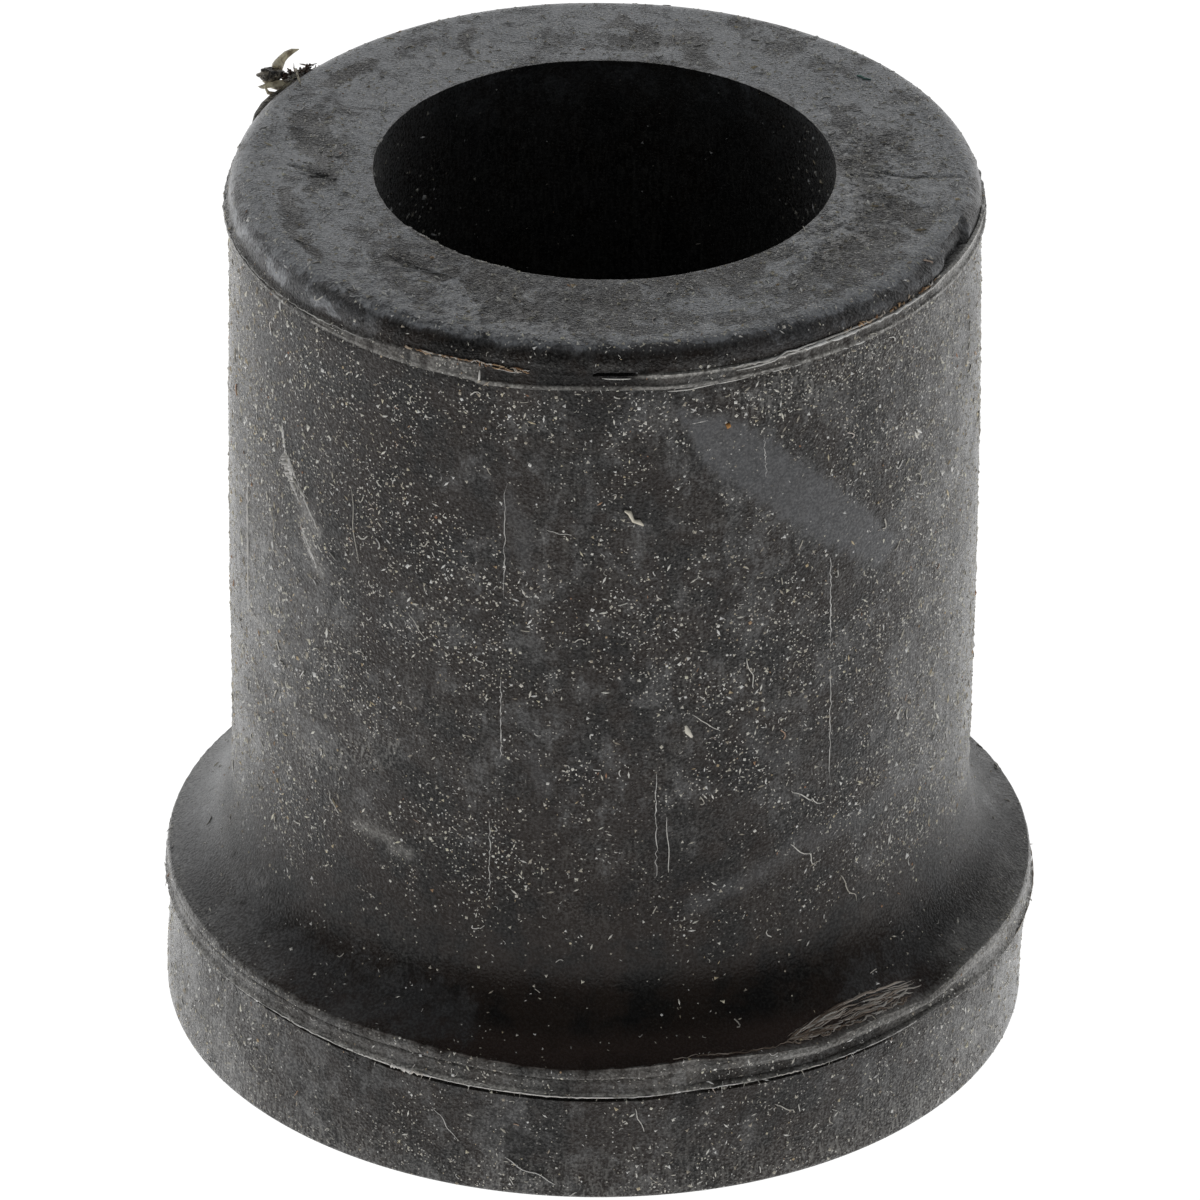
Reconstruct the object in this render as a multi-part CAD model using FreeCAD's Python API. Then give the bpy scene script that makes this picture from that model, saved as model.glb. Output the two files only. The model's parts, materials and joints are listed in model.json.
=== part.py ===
import FreeCAD, Part
import math
import os

# Spring eye bush, one rubber moulding. The round body is pressed into the rolled eye of a leaf spring,
# the flange stops it at the side of the eye, and the shackle pin goes through the bore.
# Sizes are in millimetres. Z is the axis, and the origin is the centre of the flange's flat outer face.

# Bore and body
bore_diameter = 20.0
body_diameter = 32.5
overall_length = 40.5

# Nose: the round end of the body, formed in a mould plate of its own
nose_height = 1.03
nose_round_radius = 1.0
nose_undersize = 0.05

# Where the nose plate met the body cavity: a fine groove, and below it the land that the flash was cut to
joint_groove_height = 0.12
joint_groove_depth = 0.12
nose_land_height = 0.75
nose_land_taper = 0.03

# Flange, with the root radius that carries the side load into the body
flange_diameter = 37.8
flange_side_height = 5.4
flange_edge_radius = 0.2
shoulder_slope = 20.0
root_fillet_radius = 4.2

# Rim land: the band round the flange where its two mould plates met, flared out over the flange's side
rim_land_height = 1.35
rim_land_overhang = 0.34
rim_land_taper = 0.14

# The most of a side's length that a rounding may take
most_of_side = 0.98

# Worked out from the sizes above
bore_radius = bore_diameter / 2
body_radius = body_diameter / 2
flange_radius = flange_diameter / 2
groove_top = overall_length - nose_height
land_top = groove_top - joint_groove_height
seat_top = land_top - nose_land_height


def at(radius, height):
    """A point of the half section, by its distance from the axis and its height."""
    return FreeCAD.Vector(radius, 0, height)


def flange_corners():
    """Corners of the flange's section from its flat face up to the body, each with its rounding."""
    land_edge = flange_radius + rim_land_overhang
    land_crest = land_edge - rim_land_taper
    crest_height = flange_side_height + rim_land_height
    root_height = crest_height + (land_crest - body_radius) * math.tan(math.radians(shoulder_slope))
    return [
        (at(flange_radius, 0), flange_edge_radius),
        (at(flange_radius, flange_side_height), 0),
        (at(land_edge, flange_side_height), 0),
        (at(land_crest, crest_height), 0),
        (at(body_radius, root_height), root_fillet_radius),
    ]


def nose_corners():
    """Corners of the section from the top of the body's seat, over the land and groove, to the nose."""
    land_radius = body_radius - nose_land_taper
    nose_radius = body_radius - nose_undersize
    groove_middle = (land_top + groove_top) / 2
    return [
        (at(body_radius, seat_top), 0),
        (at(land_radius, land_top), 0),
        (at(nose_radius - joint_groove_depth, groove_middle), 0),
        (at(nose_radius, groove_top), 0),
        (at(nose_radius, overall_length), nose_round_radius),
    ]


def rounding(corner, before, after, radius):
    """The tangent arc that rounds one corner of the section between its two neighbours."""
    to_before = before - corner
    to_after = after - corner
    half_angle = to_before.getAngle(to_after) / 2
    room = most_of_side * min(to_before.Length, to_after.Length)
    reach = min(radius / math.tan(half_angle), room)
    fitted_radius = reach * math.tan(half_angle)
    to_before.normalize()
    to_after.normalize()
    inward = to_before + to_after
    inward.normalize()
    middle = corner + inward * (fitted_radius / math.sin(half_angle) - fitted_radius)
    return Part.Arc(corner + to_before * reach, middle, corner + to_after * reach).toShape()


def half_section():
    """The rubber on one side of the axis, as a flat face."""
    corners = [(at(bore_radius, 0), 0)] + flange_corners() + nose_corners()
    corners.append((at(bore_radius, overall_length), 0))
    edges = []
    pen = corners[0][0]
    for index in range(1, len(corners) + 1):
        corner, radius = corners[index % len(corners)]
        if radius:
            after = corners[(index + 1) % len(corners)][0]
            arc = rounding(corner, corners[index - 1][0], after, radius)
            edges.append(Part.LineSegment(pen, arc.firstVertex().Point).toShape())
            edges.append(arc)
            pen = arc.lastVertex().Point
        else:
            edges.append(Part.LineSegment(pen, corner).toShape())
            pen = corner
    return Part.Face(Part.Wire(edges))


def spring_eye_bush():
    """The whole moulding: the half section turned once round the axis."""
    return half_section().revolve(FreeCAD.Vector(0, 0, 0), FreeCAD.Vector(0, 0, 1), 360)


os.makedirs("parts", exist_ok=True)
spring_eye_bush().exportStep("parts/spring_eye_bush.step")
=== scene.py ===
import json
import math

import bmesh
import bpy
import numpy as np
from mathutils import Matrix, Vector, noise
from mathutils.bvhtree import BVHTree

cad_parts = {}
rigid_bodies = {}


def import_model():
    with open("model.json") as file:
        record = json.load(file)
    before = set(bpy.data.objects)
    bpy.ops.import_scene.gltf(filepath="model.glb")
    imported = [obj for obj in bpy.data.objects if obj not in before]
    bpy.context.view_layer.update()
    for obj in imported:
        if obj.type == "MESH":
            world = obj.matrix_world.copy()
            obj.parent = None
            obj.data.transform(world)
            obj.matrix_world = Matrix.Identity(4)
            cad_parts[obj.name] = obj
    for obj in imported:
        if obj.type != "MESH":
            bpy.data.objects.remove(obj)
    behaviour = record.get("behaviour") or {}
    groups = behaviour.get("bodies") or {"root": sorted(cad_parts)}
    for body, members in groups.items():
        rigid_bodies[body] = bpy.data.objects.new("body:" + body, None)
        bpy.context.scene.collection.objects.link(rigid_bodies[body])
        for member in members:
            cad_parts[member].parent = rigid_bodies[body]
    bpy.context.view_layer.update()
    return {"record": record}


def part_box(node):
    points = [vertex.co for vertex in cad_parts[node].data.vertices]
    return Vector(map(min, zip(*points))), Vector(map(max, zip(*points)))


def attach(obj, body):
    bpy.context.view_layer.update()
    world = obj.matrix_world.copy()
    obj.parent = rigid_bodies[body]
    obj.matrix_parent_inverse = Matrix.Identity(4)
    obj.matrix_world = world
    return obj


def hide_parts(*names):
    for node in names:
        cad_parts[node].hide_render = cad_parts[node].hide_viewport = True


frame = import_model()

# The camera has the photograph's viewing angle: a long lens looks down at the front of the bush, which
# fills the frame from the back of its nose to the front of its flange.
mm = 0.001
camera_elevation = math.radians(30.07)
camera_roll = math.radians(0.472)
camera_distance = 589.85 * mm
camera_aim = Vector((-0.05, -0.53, 19.34)) * mm
camera_lens = 403.88

camera_data = bpy.data.cameras.new("camera")
camera_data.sensor_width = 36
camera_data.lens = camera_lens
camera_data.clip_start = 10 * mm
camera = bpy.data.objects.new("camera", camera_data)
bpy.context.scene.collection.objects.link(camera)
tilt = Matrix.Rotation(math.pi / 2 - camera_elevation, 4, "X") @ Matrix.Rotation(camera_roll, 4, "Z")
towards_camera = Vector((0, -math.cos(camera_elevation), math.sin(camera_elevation)))
camera.matrix_world = Matrix.Translation(camera_aim + towards_camera * camera_distance) @ tilt
bpy.context.scene.camera = camera


# The studio: a white table and a white sweep behind it, with a darker room above and on the camera's
# side. The table glows by itself, a little more on the left than on the right, so evenly that the bush
# casts hardly any shadow on it; under the bush its glow is cut off as a painted shadow.
def add(tree, kind, inputs=None, **settings):
    """A new node with its settings. Its inputs are given by name or place, as a value or a socket."""
    new = tree.nodes.new(kind)
    for name, value in settings.items():
        setattr(new, name, value)
    for place, value in (inputs or {}).items():
        if isinstance(value, bpy.types.NodeSocket):
            tree.links.new(value, new.inputs[place])
        else:
            new.inputs[place].default_value = value
    return new


def work_out(tree, operation, first, second=0.0):
    """The output of one sum on two numbers."""
    return add(tree, "ShaderNodeMath", {0: first, 1: second}, operation=operation).outputs[0]


def rise(tree, value, low, high):
    """0 below low, 1 above high, and a smooth step between them."""
    inputs = {"Value": value, "From Min": low, "From Max": high}
    return add(tree, "ShaderNodeMapRange", inputs, interpolation_type="SMOOTHSTEP").outputs[0]


def blend_colour(tree, share, first, second):
    """The colour between two others."""
    inputs = {"Factor": share, 6: first, 7: second}
    return add(tree, "ShaderNodeMix", inputs, data_type="RGBA").outputs[2]


def new_material(name):
    """An empty material and its node tree."""
    material = bpy.data.materials.new(name)
    material.use_nodes = True
    material.node_tree.nodes.clear()
    return material, material.node_tree


table_half = 3.0
table_height = -0.02 * mm
table_white = (0.30, 0.30, 0.30, 1)
sweep_white = (1.0, 1.0, 1.0, 1)
room_grey = (0.10, 0.105, 0.11, 1)
glow_left = 1.12
glow_right = 0.94
glow_reach = 80 * mm
shadow_disc_radius = 17.0 * mm

world = bpy.data.worlds.new("studio")
world.use_nodes = True
bpy.context.scene.world = world
studio = world.node_tree
studio.nodes.clear()
direction = add(studio, "ShaderNodeTexCoord").outputs["Generated"]
split = add(studio, "ShaderNodeSeparateXYZ", {0: direction})
behind = rise(studio, split.outputs["Y"], 0.05, 0.72)
low_down = work_out(studio, "SUBTRACT", 1.0, rise(studio, split.outputs["Z"], 0.5, 0.95))
to_the_left = work_out(studio, "SUBTRACT", 1.0, rise(studio, split.outputs["X"], -0.2, 0.45))
width_fall = work_out(studio, "ADD", 0.72, work_out(studio, "MULTIPLY", to_the_left, 0.28))
swept = work_out(studio, "MULTIPLY", work_out(studio, "MULTIPLY", behind, low_down), width_fall)
sky = blend_colour(studio, swept, room_grey, sweep_white)
background = add(studio, "ShaderNodeBackground", {"Color": sky, "Strength": 1.0})
add(studio, "ShaderNodeOutputWorld", {"Surface": background.outputs[0]})

table_material, tree = new_material("table_white")
spot = add(tree, "ShaderNodeTexCoord").outputs["Object"]
across = add(tree, "ShaderNodeSeparateXYZ", {0: spot}).outputs["X"]
from_axis = add(tree, "ShaderNodeVectorMath", {0: spot}, operation="LENGTH").outputs["Value"]
# The table's glow is painted brighter on the left, weaker on the right.
side_glow = add(tree, "ShaderNodeMapRange", {"Value": across, "From Min": -glow_reach, "From Max": glow_reach,
                                             "To Min": glow_left, "To Max": glow_right})
# Painted shadow: no glow in the disc under the bush.
outside_shadow_disc = rise(tree, from_axis, shadow_disc_radius - 0.5 * mm, shadow_disc_radius)
strength = work_out(tree, "MULTIPLY", side_glow.outputs[0], outside_shadow_disc)
glow = add(tree, "ShaderNodeEmission", {"Color": sweep_white, "Strength": strength})
matt = add(tree, "ShaderNodeBsdfDiffuse", {"Color": table_white})
lit = add(tree, "ShaderNodeAddShader", {0: glow.outputs[0], 1: matt.outputs[0]})
add(tree, "ShaderNodeOutputMaterial", {"Surface": lit.outputs[0]})

table_mesh = bpy.data.meshes.new("table")
table_corners = [(x * table_half, y * table_half, table_height)
                 for x, y in ((-1, -1), (1, -1), (1, 1), (-1, 1))]
table_mesh.from_pydata(table_corners, [], [(0, 1, 2, 3)])
table_mesh.materials.append(table_material)
table = bpy.data.objects.new("table", table_mesh)
bpy.context.scene.collection.objects.link(table)
bpy.context.scene.view_settings.view_transform = "Standard"


# The moulding: one piece of black rubber, pressed in a mould of three plates. The body, the flange and
# the bore are turned surfaces, and at the two joints between the plates a thin land of flash stands out.
mounts = {mount["name"]: mount["dims"] for mount in frame["record"]["mounts"]}
bore_radius = mounts["pin_bore"]["r_mm"] * mm
body_radius = mounts["eye_seat"]["r_mm"] * mm
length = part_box("spring_eye_bush")[1].z

flange_radius = 18.96 * mm
flange_edge_radius = 0.2 * mm
side_top = 5.4 * mm
rim_lip_radius = 19.2 * mm
rim_band_radius = 19.1 * mm
rim_bead_radius = 19.12 * mm
rim_crest_radius = 19.02 * mm
rim_crest_height = 6.78 * mm
rim_gap_depth = 0.14 * mm
shoulder_slope = math.radians(20)
root_radius = 4.2 * mm
flange_lean = 0.2 * mm
body_lean = 0.07 * mm
body_swell = 0.08 * mm

nose_lip_height = 38.64 * mm
nose_lip_thickness = 0.07 * mm
nose_crest_height = 39.32 * mm
groove_depth = 0.12 * mm
groove_height = 39.40 * mm
nose_foot_height = 39.47 * mm
nose_undersize = 0.02 * mm
nose_round_radius = 1.03 * mm

# How far each line of the two joints wanders from its height: (azimuth in degrees, millimetres). The
# azimuth is 0 at the front and grows to the right.
rim_lip_wander = (
    (-180, 0), (-90, 0.30), (-54, 0.39), (-46, 0.41), (-37, 0.28), (-26, 0.12), (-15, 0), (-5, -0.08),
    (6, -0.06), (13, 0.10), (30, 0.10), (40, 0.18), (49, 0.38), (58, 0.18), (80, 0.1), (180, 0))
rim_crest_wander = (
    (-180, 0), (-90, 0.15), (-55, 0.20), (-47, 0.25), (-38, 0.08), (-27, 0.19), (-5, -0.20), (6, -0.05),
    (13, 0.13), (22, -0.13), (30, -0.36), (40, -0.1), (49, -0.38), (58, 0.07), (180, 0))
nose_lip_wander = (
    (-180, 0), (-72, 0.2), (-24, 0.03), (-19.5, 0), (-18.5, -0.2), (-11, -0.12), (-3, 0.02), (15, 0.05),
    (24, 0.15), (34, 0.20), (60, 0.22), (120, 0.1), (180, 0))
nose_crest_wander = (
    (-180, 0), (-72, -0.3), (-54, -0.28), (-45, -0.2), (-37, -0.13), (-30, 0), (-22, 0.08), (0, 0),
    (24, 0.05), (34, 0.16), (60, 0.14), (120, 0), (180, 0))

sweep_steps = 645
features = ("plain", "rim_gap", "rim_lip", "rim_band", "rim_bead", "rim_crest", "nose_lip", "nose_band",
            "nose_crest", "groove", "nose_foot", "bore_mouth", "bore_rim")


def run(start, end, count):
    """Evenly spaced points of the section, from start up to but without end."""
    steps = np.arange(count)[:, None] / count
    return [("plain", *point) for point in np.array(start) + (np.array(end) - np.array(start)) * steps]


def bend(centre, radius, start, end, count):
    """Points of the section along an arc, both ends among them."""
    angles = np.radians(np.linspace(start, end, count))
    return [("plain", centre[0] + radius * math.cos(a), centre[1] + radius * math.sin(a)) for a in angles]


def moulding_section():
    """The closed outline of half the rubber as (feature, radius, height), up the outside, down the bore."""
    half_corner = (math.pi / 2 + shoulder_slope) / 2
    root_height = rim_crest_height + (rim_crest_radius - body_radius) * math.tan(shoulder_slope)
    root_centre = (body_radius + root_radius, root_height + root_radius / math.tan(half_corner))
    nose_radius = body_radius - nose_undersize
    round_centre = (nose_radius - nose_round_radius, length - nose_round_radius)
    edge_centre = (flange_radius - flange_edge_radius, flange_edge_radius)
    slope_degrees = math.degrees(shoulder_slope)

    points = run((bore_radius, 0), (edge_centre[0], 0), 3)
    points += bend(edge_centre, flange_edge_radius, -90, 0, 4)
    points += run((flange_radius, 0.8 * mm), (flange_radius, side_top - 0.6 * mm), 5)
    gap_radius = flange_radius - rim_gap_depth
    for feature, radius, further, above in (
        ("plain", flange_radius, 0, -0.36), ("rim_gap", gap_radius, 0, -0.28),
        ("rim_gap", gap_radius, 0, -0.1), ("rim_gap", flange_radius, 0.05, -0.04),
        ("rim_lip", rim_lip_radius, 0, -0.02), ("rim_lip", rim_lip_radius, 0.03, 0.04),
        ("rim_lip", rim_lip_radius, -0.02, 0.11),
        ("rim_band", rim_band_radius, 0.02, 0.24), ("rim_band", rim_band_radius, 0, 0.42),
        ("rim_band", rim_band_radius, 0, 0.62), ("rim_band", rim_band_radius, 0, 0.76),
        ("rim_bead", rim_bead_radius, -0.01, 0.86), ("rim_bead", rim_bead_radius, 0.02, 1.0),
        ("rim_bead", rim_bead_radius, 0, 1.15), ("rim_bead", rim_bead_radius, -0.04, 1.28)):
        points += [(feature, radius + further * mm, side_top + above * mm)]
    points += [("rim_crest", rim_crest_radius, rim_crest_height)]
    points += [("plain", rim_crest_radius - 0.16 * mm, rim_crest_height + 0.045 * mm)]
    points += bend(root_centre, root_radius, 270 - slope_degrees, 180, 16)
    points += run((body_radius, root_centre[1] + 1.2 * mm), (body_radius, nose_lip_height - 0.25 * mm), 54)
    points += [("plain", body_radius, nose_lip_height - 0.02 * mm)]
    points += [("nose_lip", body_radius, nose_lip_height + step * nose_lip_thickness) for step in range(3)]
    points += [("nose_band", body_radius, nose_lip_height + above * mm) for above in (0.22, 0.36, 0.5)]
    points += [("nose_crest", body_radius, nose_crest_height - below * mm) for below in (0.06, 0)]
    points += [("groove", nose_radius - groove_depth, groove_height)]
    points += [("nose_foot", nose_radius, nose_foot_height)]
    points += bend(round_centre, nose_round_radius, 0, 90, 10)[1:]
    points += run((round_centre[0] - 0.25 * mm, length), (bore_radius + 0.3 * mm, length), 20)
    points += [("bore_mouth", bore_radius + from_bore * mm, length) for from_bore in (0.3, 0.16, 0.06)]
    points += [("bore_rim", bore_radius, length)]
    points += [("bore_mouth", bore_radius, length - 0.06 * mm)]
    points += run((bore_radius, length - 0.5 * mm), (bore_radius, 0), 9)
    return points


def plain_mesh(piece, name):
    """The piece's modifiers made into a mesh of its own, on a new object at the origin."""
    result = bpy.data.meshes.new_from_object(piece.evaluated_get(bpy.context.evaluated_depsgraph_get()))
    source = piece.data
    bpy.data.objects.remove(piece)
    if source.users == 0:
        bpy.data.batch_remove([source])
    result.name = name
    finished = bpy.data.objects.new(name, result)
    bpy.context.scene.collection.objects.link(finished)
    return finished


def new_tree(name, **sizes):
    """A geometry tree with a Geometry input and output and one named input for each size."""
    tree = bpy.data.node_groups.new(name, "GeometryNodeTree")
    tree.interface.new_socket("Geometry", in_out="OUTPUT", socket_type="NodeSocketGeometry")
    tree.interface.new_socket("Geometry", in_out="INPUT", socket_type="NodeSocketGeometry")
    for size, kind in sizes.items():
        tree.interface.new_socket(size, in_out="INPUT", socket_type=kind)
    return tree, tree.nodes.new("NodeGroupInput").outputs, tree.nodes.new("NodeGroupOutput").inputs


def apply_tree(piece, tree, **values):
    """A geometry modifier on the piece, with its named inputs set."""
    modifier = piece.modifiers.new(tree.name, "NODES")
    modifier.node_group = tree
    for socket in tree.interface.items_tree:
        if socket.in_out == "INPUT" and socket.name in values:
            modifier[socket.identifier] = values[socket.name]


def finish(tree, made, material, result):
    """Ends a geometry tree: its instances made real and its faces given their material."""
    whole = add(tree, "GeometryNodeRealizeInstances", {"Geometry": made.outputs[0]})
    coated = add(tree, "GeometryNodeSetMaterial", {"Geometry": whole.outputs[0], "Material": material})
    tree.links.new(coated.outputs[0], result["Geometry"])


def turning_tree():
    """Turns a closed section, held as edges, once round Z."""
    tree, given, result = new_tree("turning", Steps="NodeSocketInt", Material="NodeSocketMaterial")
    section = add(tree, "GeometryNodeMeshToCurve", {"Mesh": given["Geometry"]})
    circle = add(tree, "GeometryNodeCurvePrimitiveCircle", {"Resolution": given["Steps"], "Radius": 1e-9})
    turned = add(tree, "GeometryNodeCurveToMesh", {"Curve": circle.outputs[0],
                                                   "Profile Curve": section.outputs[0]})
    facing_out = add(tree, "GeometryNodeFlipFaces", {0: turned.outputs[0]})
    finish(tree, facing_out, given["Material"], result)
    return tree


def uneven(places, scale, seed, octaves=3):
    """Smooth noise from about -1 to 1 at each place, where scale is the size of its swells."""
    shift = Vector((seed * 17.3, seed * 5.9, seed * 11.1))
    return np.array([noise.fractal(Vector(p) / scale + shift, 1.0, 2.0, octaves) for p in places])


def ramp(values, low, high):
    """0 below low, 1 above high, and a smooth step between them."""
    share = np.clip((values - low) / (high - low), 0, 1)
    return share * share * (3 - 2 * share)


def wander(azimuth, spots):
    """How far a joint's line lies off its height at each azimuth, from its list of spots."""
    return np.interp(azimuth, [spot[0] for spot in spots], [spot[1] * mm for spot in spots])


def between(values, start, end, soft=2.0):
    """1 for values from start to end, with soft ends."""
    return ramp(values, start - soft, start) * (1 - ramp(values, end, end + soft))


def vertex_places(mesh):
    """The places of a mesh's vertices, one row each."""
    places = np.empty(len(mesh.vertices) * 3)
    mesh.vertices.foreach_get("co", places)
    return places.reshape(-1, 3)


def store(mesh, name, values):
    """A named number for each vertex of the mesh."""
    mesh.attributes.new(name, "FLOAT", "POINT").data.foreach_set("value", np.clip(values, 0, 1))


def stroke(spots, start, end, width, soft):
    """1 on a straight stroke between two spots of a flat map in millimetres, falling to 0 over soft."""
    start = np.array(start)
    along = np.array(end) - start
    share = np.clip((spots - start) @ along / (along @ along), 0, 1)
    gap = np.linalg.norm(spots - start - share[:, None] * along, axis=1)
    return 1 - ramp(gap, width, width + soft)


def patch(spots, corners, soft):
    """1 inside a bulging outline of a flat map, its corners given clockwise, falling to 0 over soft."""
    inside = np.full(len(spots), 1e9)
    for corner, following in zip(corners, corners[1:] + corners[:1]):
        along = np.array(following) - np.array(corner)
        across = np.array((along[1], -along[0])) / np.linalg.norm(along)
        inside = np.minimum(inside, (spots - np.array(corner)) @ across)
    return ramp(inside, -soft, 0)


def unrolled(azimuth, height):
    """The body's skin rolled out flat in millimetres, from azimuths in degrees and heights in millimetres."""
    around_body = np.radians(azimuth) * body_radius / mm
    return np.column_stack([around_body, np.broadcast_to(height, np.shape(azimuth))])


def on_skin(spot):
    """One spot (azimuth, height) on that flat map."""
    return math.radians(spot[0]) * body_radius / mm, spot[1]


# Where hands and packing have wiped the body smooth, and where dust has gathered: both ends of a stroke
# as (azimuth in degrees, height in millimetres), and its half width in millimetres. The smooth patch is
# given by its corners.
smooth_patch = [(11.1, 37.5), (23.1, 36.6), (30.9, 34.2), (39.6, 31.9), (53.7, 28.4), (44.9, 27.3),
                (34.0, 30.0), (17.0, 33.6)]
wiped_patches = [((-62, 20.5), (-50, 22.5), 0.5), ((-51.0, 29.6), (-47.0, 26.6), 0.4),
                 ((14, 12.9), (30, 14.6), 0.3), ((30, 14.8), (60, 15.8), 0.5),
                 ((-14, 33.0), (-11, 30.0), 0.35), ((22, 21.5), (30, 19.0), 0.35),
                 ((-12, 21.0), (-9, 19.0), 0.35)]
pale_smears = [((-70.1, 21.9), (-57.5, 21.7), 0.12), ((-40.7, 15.0), (-30.8, 14.5), 0.15),
               ((-54.6, 30.2), (-48.4, 28.5), 0.12), ((-52.0, 28.4), (-48.2, 26.6), 0.14)]
dusty_patches = [((-55.0, 30.0), (-49.0, 28.3), 0.22), ((-53.0, 28.8), (-48.0, 26.5), 0.25),
                 ((-46, 22.2), (-40, 21.2), 0.5), ((66, 24.0), (76, 18.0), 0.8),
                 ((-40, 15.0), (-31, 14.6), 0.35), ((-72, 37.0), (-69, 29.0), 0.5),
                 ((-70, 21.8), (-57, 21.6), 0.2), ((-52, 17.0), (-36, 19.0), 0.7),
                 ((140, 30.0), (165, 18.0), 1.2), ((-170, 20.0), (-150, 27.0), 1.5)]

# Where crumbs have gathered on the body: both ends of a stroke as (azimuth, height), its half width, and
# how much thicker they lie there.
crumb_patches = [((-34, 31.5), (-20, 25.5), 1.6, 0.9), ((-24, 30.5), (-8, 28.0), 0.9, 0.6),
                 ((-47, 22.4), (-38, 20.4), 0.8, 1.2), ((-68, 15.8), (-56, 13.6), 0.8, 0.9),
                 ((-28, 16.6), (-12, 15.2), 0.8, 0.9), ((64, 27.0), (80, 17.0), 1.6, 0.8),
                 ((0, 27.0), (22, 22.5), 1.4, 0.5), ((26, 26.5), (48, 21.0), 1.4, 0.4),
                 ((-80, 37.0), (-66, 30.0), 1.4, 0.9), ((-14, 20.6), (-2, 19.9), 0.5, 0.9),
                 ((10, 38.0), (50, 37.4), 0.8, 0.5), ((-40, 37.0), (-10, 37.2), 0.8, 0.4),
                 ((18, 20.0), (40, 16.0), 1.2, 0.4), ((-60, 31.0), (-46, 27.0), 0.9, 0.5)]

# Thicker and thinner streaks of the bloom on the nose: both ends as (x, y) and the half width, all in
# millimetres, and how much is added.
bloom_marks = [((-12.7, 4.6), (-11.9, -1.6), 0.7, -0.5), ((-11.5, -2.0), (-12.7, -5.2), 0.4, 0.6),
               ((-13.6, -2.4), (-12.5, -8.0), 0.5, -0.55), ((-15.0, 0.5), (-14.5, -5.3), 0.6, 0.35),
               ((-13.8, -7.5), (-11.9, -9.6), 0.8, 0.3), ((-10.7, -1.8), (-10.7, 3.0), 0.35, 0.7),
               ((-10.5, 3.4), (-7.4, 8.3), 0.5, 0.5), ((-10.7, -9.9), (-8.8, -12.1), 0.5, 0.55),
               ((-7.8, -9.9), (-5.8, -12.2), 0.7, 0.3), ((-9.2, -8.1), (-6.8, -9.8), 0.35, -0.7),
               ((-5.4, -10.2), (-3.3, -12.9), 0.6, -0.6), ((-7.4, -12.3), (-4.3, -14.5), 0.4, 0.5),
               ((-7.0, 11.4), (-6.3, 9.2), 0.5, 0.5), ((-6.0, 12.5), (-5.8, 10.3), 0.25, -0.8),
               ((-5.0, 12.6), (-3.4, 11.5), 0.5, 0.5), ((-13.1, 8.7), (-11.1, 10.6), 0.6, 0.4),
               ((-12.2, 7.2), (-10.2, 9.8), 0.4, -0.5), ((0.8, 13.4), (1.9, 11.6), 0.7, -0.6),
               ((1.0, 14.8), (2.4, 13.1), 0.25, 0.8), ((2.4, 13.1), (3.8, 14.4), 0.25, 0.8),
               ((3.3, 12.0), (5.0, 10.1), 0.6, -0.5), ((5.7, 10.5), (9.2, 6.8), 0.9, 0.4),
               ((12.4, -3.0), (13.5, -4.8), 0.6, -0.7), ((10.9, 0.9), (11.6, -4.0), 0.8, -0.3),
               ((6.6, -9.9), (8.7, -7.8), 0.5, 0.5), ((3.1, -12.5), (5.4, -12.1), 0.6, 0.6),
               ((2.4, -10.0), (6.3, -9.6), 0.5, -0.5), ((9.4, -7.8), (11.5, -6.3), 0.8, -0.5),
               ((14.0, 4.7), (15.3, 0.3), 0.6, 0.45), ((-1.5, -12.0), (1.0, -11.2), 0.5, -0.4),
               ((-3.0, -14.6), (1.5, -15.0), 0.4, 0.4), ((8.9, -10.6), (6.5, -12.6), 0.6, 0.2)]

# Small pits in the flange's shoulder: azimuth, distance from the axis and height.
shoulder_pits = [(-73.3, 16.7, 8.8), (-87.0, 16.5, 9.1), (-85.5, 16.4, 10.4), (-64.0, 17.4, 7.9),
                 (-97.0, 17.2, 8.0)]

# Cracks and torn pits in the nose's face: both ends as (x, y) and the half width, in millimetres.
top_cracks = [((11.7, -0.15), (13.2, -0.6), 0.03), ((13.2, -0.6), (15.3, -0.45), 0.04),
              ((-13.5, 0.1), (-11.6, -1.3), 0.06), ((-9.2, -8.1), (-7.9, -9.2), 0.05),
              ((-7.9, -9.0), (-6.8, -9.8), 0.04), ((-12.6, -1.0), (-11.9, -0.8), 0.09)]


class Skin:
    """The moulding's vertices while they are worked on, and what the work adds to each of them."""

    def __init__(self, mesh):
        self.places = vertex_places(mesh)
        feature = np.empty(len(self.places), int)
        mesh.attributes["feature"].data.foreach_get("value", feature)
        self.is_a = {name: feature == index for index, name in enumerate(features)}
        self.azimuth = np.degrees(np.arctan2(self.places[:, 0], -self.places[:, 1]))
        self.radius = np.hypot(self.places[:, 0], self.places[:, 1])
        self.tall = self.places[:, 2] / mm
        self.outward = self.places[:, :2] / self.radius[:, None]
        flattened = np.column_stack([self.outward * 19 * mm, self.places[:, 2] * 0.15])
        self.ragged = uneven(flattened, 0.45 * mm, 3, 4)
        self.broad = uneven(flattened, 3 * mm, 4, 2)
        self.push, self.lift, self.wear_and_highlight, self.painted_shade = np.zeros((4, len(self.places)))

    def work(self, feature, push=0, lift=0, wear_and_highlight=None, painted_shade=None):
        """Moves one line of the section out and up, in millimetres, and sets how pale its wear and painted
        highlight make it and how much painted shade lies on it.
        """
        here = self.is_a[feature]
        self.push += here * push * mm
        self.lift += here * lift * mm
        if wear_and_highlight is not None:
            self.wear_and_highlight = np.where(here, wear_and_highlight, self.wear_and_highlight)
        if painted_shade is not None:
            self.painted_shade = np.where(here, painted_shade, self.painted_shade)


def shape_body(skin):
    """Lets the body swell at half height, and makes the whole skin outside the bore a little uneven."""
    past_bore = ramp(skin.radius, bore_radius, bore_radius + 1 * mm)
    skin.push += 0.03 * mm * uneven(skin.places, 9 * mm, 1) * past_bore * ramp(skin.tall, 0.2, 2)
    skin.push += body_swell * between(skin.tall, 22, 28, 10)
    skin.push *= past_bore


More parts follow.
